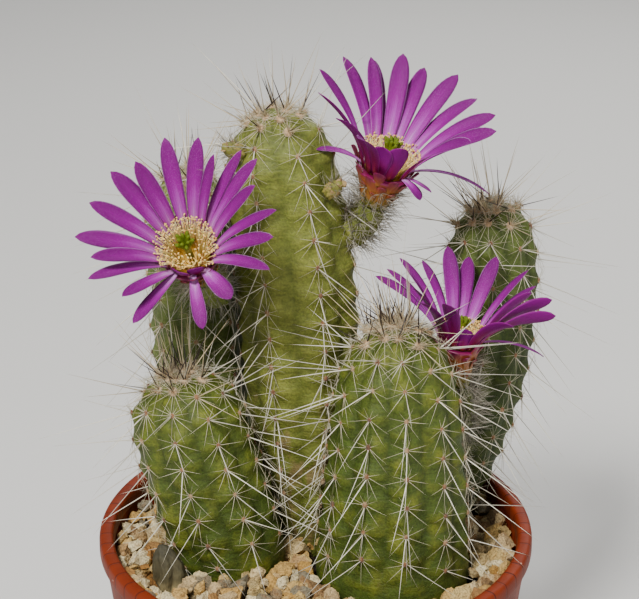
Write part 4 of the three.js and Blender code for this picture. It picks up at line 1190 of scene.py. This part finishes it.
for number, flower in enumerate(flowers):
    random = np.random.default_rng(60 + number)
    spin = np.arange(STAMEN_COUNT) * STAMEN_TURN
    spread = ((np.arange(STAMEN_COUNT) + 0.5) / STAMEN_COUNT) ** 0.6
    root_out = ROOTS_OUT[0] + ROOTS_OUT[1] * spread
    root_along = ROOTS_ALONG[0] + ROOTS_ALONG[1] * spread
    tip_along = (TIPS_ALONG[0] - TIPS_ALONG[1] * spread ** 2 +
                 random.uniform(-1.3, 0.9, STAMEN_COUNT))
    tip_out = (TIPS_OUT[0] + TIPS_OUT[1] * spread +
               random.uniform(-2.2, 1.2, STAMEN_COUNT) * spread)
    for angle, foot, tip, length, half, *_ in flower.petals + flower.small:
        line = curl(THROAT_RADIUS - PETAL_INSET, PETAL_RAISED, length, foot, tip, PETAL_BEND)
        rising = np.maximum.accumulate(line[:, 1])
        room = np.interp(tip_along, rising, line[:, 0]) - ANTHER_ROOM
        off = (spin - math.radians(angle) + math.pi) % math.tau - math.pi
        behind = np.abs(off) < (half + 0.6) / np.maximum(room, 3)
        tip_out = np.where(behind, np.minimum(tip_out, room), tip_out)
    roots = flower.at(spin, root_out, root_along)
    tips = flower.at(spin + random.uniform(-0.1, 0.1, STAMEN_COUNT), tip_out, tip_along)
    bends = (tips - roots) * FILAMENT_BEND - flower.axis * (
        (tips - roots) @ flower.axis)[:, None] * FILAMENT_BEND
    run = tips - roots - bends
    skin, along = needles(roots, unit(run), np.linalg.norm(run, axis=1),
                          np.full(STAMEN_COUNT, FILAMENT_RADIUS), bends, 4, 5, 0.25)
    piece = solid(flower.name + "_filaments", *skin)
    mark(piece, "along", along)
    piece.data.materials.append(filament)
    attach(piece, "root")
    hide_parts(flower.name + "_stamens")

    ways = unit(random.normal(size=(STAMEN_COUNT, 3)))
    sides = unit(np.cross(ways, random.normal(size=(STAMEN_COUNT, 3))))
    sizes = np.array(ANTHER_SIZE) * random.uniform(0.85, 1.15, (STAMEN_COUNT, 1))
    piece = solid(flower.name + "_anthers", *lumps(tips, ways, sides, sizes))
    piece.data.materials.append(pollen)
    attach(piece, "root")
    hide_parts(flower.name + "_stamens")


# ---------------------------------------------------------------- stigmas
# A stout pale style up the middle of each flower, with ten upright green lobes, which are
# velvety with papillae.

STYLE_RADIUS = 1.25
STYLE_TOP = 8
LOBES = 10
LOBE_RADIUS = 0.95
LOBE_BEND = 0.9
LOBE_TOP = 12.1
LOBE_FOOT = 0.8  # distance of a lobe's foot from the style's middle and below its top
LOBE_SPREAD = 3.3
INNER_CLOSER = 1.3  # how much further in every other lobe's tip is, and how much higher
INNER_HIGHER = 0.6

# Stigma tissue: deep fresh green, velvety, and paler at the tips of its papillae, which are
# drawn 0.3 mm wide, coarser than life, so that they show.
velvet, tree, shader = finish("green_stigma_velvet")
place = node(tree, "TexCoord", out="Object")
along = node(tree, "Attribute", out="Fac", attribute_name="along")
papillae = node(tree, "TexVoronoi", {"Vector": place, "Scale": 3000.0})
grown = node(tree, "ValToRGB", [along], [(0.0, "#C6C66A"), (0.25, "#84921A"), (1.0, "#6A7C08")])
worn = node(tree, "MapRange", (papillae, 0.0, 0.5, 1.15, 0.6))
green = node(tree, "MixRGB", (1.0, grown, worn), blend_type="MULTIPLY")
bump = node(tree, "Bump", {"Height": papillae, "Strength": 0.6, "Distance": 0.0002},
            invert=True)
plug(shader, {"Base Color": green, "Roughness": 0.7, "Specular IOR Level": 0.25,
              "Normal": bump})

for flower in flowers:
    spin = np.arange(LOBES) / LOBES * math.tau
    inner = np.arange(LOBES) % 2
    roots = flower.at(spin, np.full(LOBES, LOBE_FOOT), np.full(LOBES, STYLE_TOP - LOBE_FOOT))
    tips = flower.at(spin, LOBE_SPREAD - INNER_CLOSER * inner, LOBE_TOP + INNER_HIGHER * inner)
    bends = (flower.at(spin, np.full(LOBES, 1.0), np.zeros(LOBES)) - flower.throat) * LOBE_BEND
    run = tips - roots - bends
    lobes, along = needles(roots, unit(run), np.linalg.norm(run, axis=1),
                           np.full(LOBES, LOBE_RADIUS * flower.scale), bends, 8, 10, 0.2)
    profile = [(0.9, 0.5 - THROAT_DEPTH), (STYLE_RADIUS, 1.5 - THROAT_DEPTH),
               (STYLE_RADIUS * 0.85, 2), (STYLE_RADIUS, STYLE_TOP - 0.4), (0.8, STYLE_TOP)]
    style = swept([(flower.at(0, 0, height), flower.axis, out * flower.scale)
                   for out, height in profile], 20, flower.at(0, 0, 0.5 - THROAT_DEPTH),
                  flower.at(0, 0, STYLE_TOP + 0.1))
    piece = solid(flower.name + "_stigma_velvet", *merged([lobes, style]))
    mark(piece, "along", [*along, *np.zeros(len(style[0]))])
    piece.data.materials.append(velvet)
    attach(piece, "root")
    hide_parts(flower.name + "_stigma")


# ---------------------------------------------------------------- spines
# From each areole grow one long, stiff central spine and eight or nine short radial ones,
# pressed to the stem. They are hard and ivory white, and brown to black when young.

LONG_SPINE = 27
SPINE_RADIUS = 0.2
ROOTED = 1.2  # how deep a long spine's foot lies in the flesh, and a short one's
SHORT_ROOTED = 0.8
RADIALS = 9
CROWN_RADIALS = 15
RADIAL_SPINE = 9
RADIAL_UNEVEN = 2.8  # how much longer than that the lowest one is, and shorter the highest
RADIAL_RADIUS = 0.11
RADIAL_BEND = -0.08
YOUNG_LEAN = 0.7
YOUNG_RADIUS = 0.12
YOUNG_BEND = 0.4
APEX_DEPTH = 3
SHORTEST = 4  # of the spines that a stem's solid bears
SAME_AREOLE = 2.5
SPINE_TRIES = [  # how much higher and further round it grows if it can't, and how long
    (0, 0, 1), (14, 20, 1), (14, -20, 1), (-14, 25, 0.9), (-14, -25, 0.9),
    (35, 0, 0.8), (0, 45, 0.7), (0, -45, 0.7), (20, 60, 0.5), (20, -60, 0.5)]
SPINE_SWAY = (9, 22)  # degrees up and round by which each try strays
SPINE_UPRIGHT = 0.15  # share of its length by which it must at least stand off the skin
SECOND_SPINES = (0.35, 0.85)  # the share of areoles with a second long spine, low and high
CROWN_SPINES = 24  # within this distance of the crown there are more long spines,
CROWN_CROWD = 20  # more short ones,
CREAM_WITHIN = 16  # cream long spines,
YOUNG_WITHIN = 14  # and young spines
UPRIGHT = 125  # degrees by which a long spine is raised at the crown, above its lean lower down
UPRIGHT_WITHIN = 24
HANGING = 45
CROWN_LONGER = 9
YOUNG_DARK = dict(stem_front_right=2, stem_front_left=2, stem_centre=1, stem_right=1,
                  stem_back_left=1)
YOUNG_CREAM = 12
random = np.random.default_rng(90)


def tree_of(piece):
    """A search tree of a piece's faces, in millimetres."""
    points = [vertex.co / MM for vertex in piece.data.vertices]
    return BVHTree.FromPolygons(points, [tuple(face.vertices) for face in piece.data.polygons])


barriers = [tree_of(piece) for piece in bpy.data.objects if piece.name.endswith(
    ("_skin", "_silk", "_tube_wax", "gravel_stones", "pot_dressed"))]


def is_clear(root, way, length, start=2.5):
    """Whether a spine meets no other piece on its way out."""
    return all(tree.ray_cast(Vector(root + way * start), Vector(way), length - start)[0] is None
               for tree in barriers)


def solid_spines(stem, skin):
    """The roots and tips of the long spines that the stem's solid bears."""
    mesh = frame["nodes"][stem.name].data
    points = np.array([vertex.co[:] for vertex in mesh.vertices]) / MM
    _, first, same = np.unique(np.round(points, 2), axis=0, return_index=True,
                               return_inverse=True)
    corners = same.ravel()[np.array([face.vertices[:] for face in mesh.polygons])]
    for at, point in enumerate(points[first]):
        if skin.find_nearest(Vector(point))[3] < APEX_DEPTH:
            continue
        near = np.unique(corners[(corners == at).any(axis=1)])
        base = points[first[near[near != at]]]
        if np.linalg.norm(point - base.mean(axis=0)) > SHORTEST:
            yield base.mean(axis=0), point


def spine_matter(name, base, middle, tip):
    """Spine: hard and horny, a little glossy, uneven every 0.6 mm, darker at its tip, and
    darkened at random, partly by its own tone and partly by painted shade.
    """
    material, tree, shader = finish(name)
    along = node(tree, "Attribute", out="Fac", attribute_name="along")
    tone = node(tree, "Attribute", out="Fac", attribute_name="tone")
    grown = node(tree, "ValToRGB", [along],
                 [(0.0, base), (0.12, middle), (0.8, middle), (0.97, tip)])
    # Each spine is darkened by its own random share: partly its real tone, partly painted shade.
    shade = node(tree, "MapRange", (tone, 0.0, 1.0, 0.5, 1.05))
    toned = node(tree, "MixRGB", (1.0, grown, shade), blend_type="MULTIPLY")
    place = node(tree, "TexCoord", out="Object")
    uneven = node(tree, "TexNoise", {"Vector": place, "Scale": 1800.0, "Detail": 2.0})
    bump = node(tree, "Bump", {"Height": uneven, "Strength": 0.3, "Distance": 0.0001})
    plug(shader, {"Base Color": toned, "Roughness": 0.38, "Normal": bump})
    return material


old_spine = spine_matter("ivory_spine", "#7A5038", "#EAE2CC", "#A08E70")
young_spine = spine_matter("brown_young_spine", "#7E5B3C", "#2C1A12", "#0E0908")
white_bristle = spine_matter("grey_white_bristle", "#7C7262", "#A79F8E", "#8E8574")
cream_spine = spine_matter("cream_young_spine", "#8E6B4C", "#D2BE98", "#A07C54")
radial_spine = spine_matter("pale_radial_spine", "#7E563E", "#D2C8AA", "#968462")
areoles_of = {}


def spine_piece(name, owner, spines, material, sides, rows):
    """Joins spines, each (root, way, length, radius, bend, tone), into one object."""
    roots, ways, lengths, radii, bends, tones_and_shades = (np.array(column) for column in zip(*spines))
    skin, along = needles(roots, ways, lengths, radii, bends, sides, rows, 0.75)
    piece = solid(name, *skin)
    mark(piece, "along", along)
    mark(piece, "tone", np.repeat(tones_and_shades, sides * rows + 1))
    piece.data.materials.append(material)
    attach(piece, "root")
    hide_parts(owner)


for stem in stems:
    skin = tree_of(bpy.data.objects[stem.name + "_skin"])
    spots = list(stem.areoles())
    for spot in spots:
        spot["point"] = np.array(skin.find_nearest(Vector(spot["point"]))[0])
    long_ones, short_ones, young_ones, cream_ones = [], [], [], []
    taken = []
    for root, tip in solid_spines(stem, skin):
        way = unit(tip - root)
        taken.append(root)
        sag = np.cross(way, unit(random.normal(size=3))) * random.uniform(0.2, 1.2)
        long_ones.append((root - way * ROOTED, way, np.linalg.norm(tip - root) + ROOTED,
                          SPINE_RADIUS * random.uniform(0.85, 1.15), sag, random.random()))
    for spot in spots:
        up, out, normal = spot["flat_up"], spot["flat_out"], spot["out"]
        point, distance = spot["point"], spot["distance"]
        side = np.cross(up, out)
        bare = not taken or min(
            np.linalg.norm(point - root) for root in taken) > SAME_AREOLE
        lift = math.radians(UPRIGHT * math.exp(-distance / UPRIGHT_WITHIN) - HANGING)
        wanted = [(0, LONG_SPINE)] if bare else []
        at_crown = distance < CROWN_SPINES
        if random.random() < SECOND_SPINES[at_crown]:
            wanted.append((random.choice([28, -30]),
                           random.uniform(10, 17) + CROWN_LONGER * at_crown))
        for raised, length in wanted:
            for more, swing, share in SPINE_TRIES:
                rise = lift + math.radians(
                    raised + more + random.uniform(-SPINE_SWAY[0], SPINE_SWAY[0]))
                swung = math.radians(swing + random.uniform(-SPINE_SWAY[1], SPINE_SWAY[1]))
                way = unit(out * math.cos(rise) * math.cos(swung) +
                           side * math.cos(rise) * math.sin(swung) + up * math.sin(rise))
                reach = length * share * random.uniform(0.85, 1.1)
                if way.dot(normal) > SPINE_UPRIGHT and is_clear(point, way, reach):
                    sag = np.cross(way, unit(random.normal(size=3))) * random.uniform(0.2, 1)
                    (cream_ones if distance < CREAM_WITHIN else long_ones).append((
                        point - way * ROOTED, way, reach,
                        SPINE_RADIUS * (0.65 + 0.45 * share * length / LONG_SPINE),
                        sag, random.random()))
                    break
        first, second = spot["up"], np.cross(spot["up"], normal)
        count = CROWN_RADIALS if distance < CROWN_CROWD else RADIALS
        for radial in range(count):
            spin = math.tau * (radial + 0.5 + random.uniform(-0.3, 0.3)) / count
            raised = random.uniform(0.12, 0.42)
            way = unit(first * math.cos(spin) + second * math.sin(spin) + normal * raised)
            length = (RADIAL_SPINE - RADIAL_UNEVEN * math.cos(spin)) * random.uniform(0.85, 1.2)
            if is_clear(point, way, length, 1.8):
                short_ones.append((point - way * SHORT_ROOTED, way, length, RADIAL_RADIUS,
                                   normal * RADIAL_BEND * length, random.random()))
        if distance < YOUNG_WITHIN:
            for young in range(YOUNG_DARK[stem.name] + YOUNG_CREAM):
                dark = young < YOUNG_DARK[stem.name]
                way = unit(up * random.uniform(0.2, 0.9) + normal * YOUNG_LEAN +
                           random.normal(size=3) * (0.5 if dark else 0.6))
                length = random.uniform(9, 20) if dark else random.uniform(4, 8)
                (young_ones if dark else cream_ones).append(
                    (point - way * SHORT_ROOTED, way, length,
                     random.uniform(0.22, 0.34) if dark else YOUNG_RADIUS,
                     random.normal(size=3) * YOUNG_BEND, random.random()))
    spine_piece(stem.name + "_central_spines", stem.name, long_ones, old_spine, 6, 7)
    spine_piece(stem.name + "_radial_spines", stem.name, short_ones, radial_spine, 4, 4)
    spine_piece(stem.name + "_young_spines", stem.name, young_ones, young_spine, 5, 5)
    spine_piece(stem.name + "_cream_spines", stem.name, cream_ones, cream_spine, 4, 4)
    areoles_of[stem.name] = spots


# ---------------------------------------------------------------- areoles and crown wool
# The cushion that each cluster of spines grows from: a small oval pad of short felt, which
# is pinkish brown when fresh and grey when old. At each crown the young pads crowd together
# and their long tan wool covers the growing point.

PAD_SIZE = (1.0, 0.82, 0.55)
YOUNG_PAD = 1.5
CROWN_REACH = 14
WOOL_FIBRES = dict(stem_front_right=90, stem_front_left=60, stem_centre=60, stem_right=50,
                   stem_back_left=50)
WOOL_SPREAD = (1.0, 1.0, 0.4)
WOOL_STRAY = 0.5
WOOL_CURL = 0.45
FRESH = 0.8

# Felt of short dead hairs: quite matt, from brown to pinkish in patches of 6 mm, and tan
# when fresh. Single hairs are too fine to show, so they lie in tufts of 0.8 mm.
felt, tree, shader = finish("areole_felt")
place = node(tree, "TexCoord", out="Object")
hairs = node(tree, "TexNoise", {"Vector": place, "Scale": 1300.0, "Detail": 3.0})
patches = node(tree, "TexNoise", {"Vector": place, "Scale": 160.0})
mixed = node(tree, "Math", (hairs, 0.5, patches), operation="MULTIPLY_ADD")
felted = node(tree, "ValToRGB", [mixed], [(0.55, "#503420"), (0.72, "#845A38"), (0.9, "#A08662")])
fresh = node(tree, "Attribute", out="Fac", attribute_name="fresh")
tinted = node(tree, "MixRGB", (fresh, felted, "#C4A47C"))
bump = node(tree, "Bump", {"Height": hairs, "Strength": 0.9, "Distance": 0.0004})
plug(shader, {"Base Color": tinted, "Roughness": 0.95, "Sheen Weight": 0.25, "Normal": bump})

# Wool: long dead hairs, quite matt, in tufts of tan to cream, 2.4 mm wide.
wool, tree, shader = finish("crown_wool")
place = node(tree, "TexCoord", out="Object")
tufts = node(tree, "TexNoise", {"Vector": place, "Scale": 420.0, "Detail": 3.0})
woolly = node(tree, "ValToRGB", [tufts], [(0.35, "#9A7850"), (0.5, "#C2A378"), (0.65, "#DAC7A0")])
plug(shader, {"Base Color": woolly, "Roughness": 0.95, "Sheen Weight": 0.3})

for stem in stems:
    random = np.random.default_rng(len(stem.name) + stem.ribs)
    spots = areoles_of[stem.name]
    middles = np.array([spot["point"] for spot in spots])
    outs = np.array([spot["out"] for spot in spots])
    ups = np.array([spot["up"] for spot in spots])
    young = np.array([spot["distance"] < CROWN_REACH for spot in spots], float)
    sizes = np.array(PAD_SIZE) * random.uniform(0.85, 1.2, (len(spots), 1))
    sizes = sizes * (1 + (YOUNG_PAD - 1) * young)[:, None]
    pads = lumps(middles, ups, np.cross(outs, ups), sizes)
    piece = solid(stem.name + "_areoles", *pads)
    mark(piece, "fresh", np.repeat(young * FRESH, len(pads[0]) // len(spots)))
    piece.data.materials.append(felt)
    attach(piece, "root")
    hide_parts(stem.name)

    fibres = []
    for spot in spots:
        if spot["distance"] > CROWN_REACH:
            continue
        for fibre in range(WOOL_FIBRES[stem.name]):
            root = spot["point"] + random.normal(size=3) * WOOL_SPREAD
            way = unit(spot["out"] + random.normal(size=3) * WOOL_STRAY)
            fibres.append((root - way * SHORT_ROOTED, way, random.uniform(1.2, 2.8),
                           random.uniform(0.09, 0.15), random.normal(size=3) * WOOL_CURL))
    skin, _ = needles(*(np.array(column) for column in zip(*fibres)), 3, 3, 0.6)
    piece = solid(stem.name + "_crown_wool", *skin)
    piece.data.materials.append(wool)
    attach(piece, "root")
    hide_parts(stem.name)


# ---------------------------------------------------------------- ovary bristles
# Hair-like, greyish white spines, which stand in small tufts all over each ovary and thinly
# on the tube.

TUFT_ROWS = 13
TUFTS_PER_ROW = 8
TUFT_BRISTLES = dict(flower_left=4, flower_top=10, flower_right=10)
TUBE_BRISTLES = 8
BRISTLE_RADIUS = 0.14
BRISTLE_ROOTED = 0.6
BRISTLE_STRAY = 0.45
BRISTLE_BEND = 1.4
TUFT_SEAT = 0.96
LOWEST_TUFTS = 0.2  # height of the tufts, as shares of the ovary's length
TUFT_REACH = 1.2

for number, flower in enumerate(flowers):
    random = np.random.default_rng(120 + number)
    bristles = []
    for row in range(TUFT_ROWS):
        share = LOWEST_TUFTS + TUFT_REACH * row / (TUFT_ROWS - 1)
        t = share * OVARY_SHARE
        thick = flower.ovary_radius(share)
        if share > 1:
            thick = flower.tube_radius((t - OVARY_SHARE) / (1 - OVARY_SHARE))
        for tuft in range(TUFTS_PER_ROW):
            up = bezier_way(flower.path, t)
            out = around(up, math.tau * (tuft + row % 2 / 2) / TUFTS_PER_ROW)
            root = bezier(flower.path, t) + out * thick * TUFT_SEAT
            for bristle in range(TUFT_BRISTLES[flower.name] if share < 1.05 else TUBE_BRISTLES):
                way = unit(out + up * random.uniform(-0.1, 0.9) +
                           random.normal(size=3) * BRISTLE_STRAY)
                length = random.uniform(6, 11)
                if is_clear(root, way, length, 1.5):
                    bristles.append((root - way * BRISTLE_ROOTED, way, length, BRISTLE_RADIUS,
                                     random.normal(size=3) * BRISTLE_BEND, random.random()))
    spine_piece(flower.name + "_ovary_bristles", flower.stem, bristles, white_bristle, 3, 5)


# ---------------------------------------------------------------- buds
# Two young flower buds, which have broken through the skin high on the middle stem: blunt
# yellow-green knobs of small overlapping scales with a few soft bristles.

BUDS = [
    dict(name="bud_left", up=0.945, turn=218, seat=0.35, length=10, radius=3.2),
    dict(name="bud_right", up=0.85, turn=-38, seat=0.7, length=9, radius=2.9),
]
BUD_SUNK = 0.8
BUD_PROFILE = [(0.02, 0.7), (0.2, 0.88), (0.45, 0.92), (0.7, 0.72), (0.9, 0.35)]
BUD_SCALES = 26
BUD_SCALE_LENGTH = 3.6
BUD_SCALE_WIDTH = 1.3
BUD_BRISTLES = 90
SOFT_RADIUS = 0.1
SOFT_BEND = 0.4
BUD_OUT, BUD_UP = 0.8, 0.6  # how a bud leans, out from the stem and up along it
BUD_SCALE_CUP = 0.35
BUD_SCALES_TO = 0.75  # share of the bud's length up which its scales' feet stand

# Bud scales: yellow-green, browner at their tips, matt, with specks of 1.1 mm.
scale_skin, tree, shader = finish("yellow_green_bud_scale")
place = node(tree, "TexCoord", out="Object")
tip = node(tree, "Attribute", out="Fac", attribute_name="tip")
specks = node(tree, "TexNoise", {"Vector": place, "Scale": 900.0, "Detail": 3.0})
blend = node(tree, "Math", (specks, 0.4, tip), operation="MULTIPLY_ADD")
scaly = node(tree, "ValToRGB", [blend], [(0.2, "#72702C"), (0.7, "#948444"), (1.0, "#967A50")])
bump = node(tree, "Bump", {"Height": specks, "Strength": 0.4, "Distance": 0.0003})
plug(shader, {"Base Color": scaly, "Roughness": 0.6, "Normal": bump})

centre_stem = stems[2]
centre_skin = tree_of(bpy.data.objects["stem_centre_skin"])
for number, bud in enumerate(BUDS):
    random = np.random.default_rng(140 + number)
    up = bezier_way(centre_stem.axis, bud["up"])
    out = around(up, math.radians(bud["turn"]))
    axis = unit(out * BUD_OUT + up * BUD_UP)
    heart = bezier(centre_stem.axis, bud["up"])
    hit = centre_skin.ray_cast(Vector(heart + out * 40), Vector(-out))[0]
    base = np.array(hit) + axis * (bud["seat"] - BUD_SUNK)
    length, radius = bud["length"], bud["radius"]
    core = swept([(base + axis * length * along, axis, radius * out_share)
                  for along, out_share in BUD_PROFILE], 24, base, base + axis * length * 0.97)
    parts, tips = [core], [np.zeros(len(core[0]))]
    for scale in range(BUD_SCALES):
        part = (scale + 0.5) / BUD_SCALES
        belly = radius * (0.75 + 0.25 * math.sin(math.pi * part)) * (1 - part ** 3) ** 0.5
        spots = curl(belly, 0, BUD_SCALE_LENGTH, 5 - 50 * part ** 2, 10 - 75 * part, 1)
        points, uv = blade(base + axis * length * BUD_SCALES_TO * part, axis, 1,
                           scale * SCALE_TURN, spots, BUD_SCALE_WIDTH, BUD_SCALE_CUP, 0)
        parts.append((points, upper + under))
        tips.append(uv[:, 0])
    piece = solid(bud["name"] + "_scales", *merged(parts))
    mark(piece, "tip", np.concatenate(tips))
    piece.data.materials.append(scale_skin)
    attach(piece, "root")
    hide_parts(bud["name"])

    soft = []
    for bristle in range(BUD_BRISTLES):
        part = random.uniform(0.1, 0.95)
        way = unit(around(axis, random.uniform(0, math.tau)) + axis * random.uniform(0.3, 1.6))
        root = base + axis * length * part * 0.9 + \
            unit(way - axis * way.dot(axis)) * radius * 0.75
        soft.append((root, way, random.uniform(3, 7), SOFT_RADIUS,
                     random.normal(size=3) * SOFT_BEND, random.random()))
    spine_piece(bud["name"] + "_bristles", bud["name"], soft, white_bristle, 3, 4)
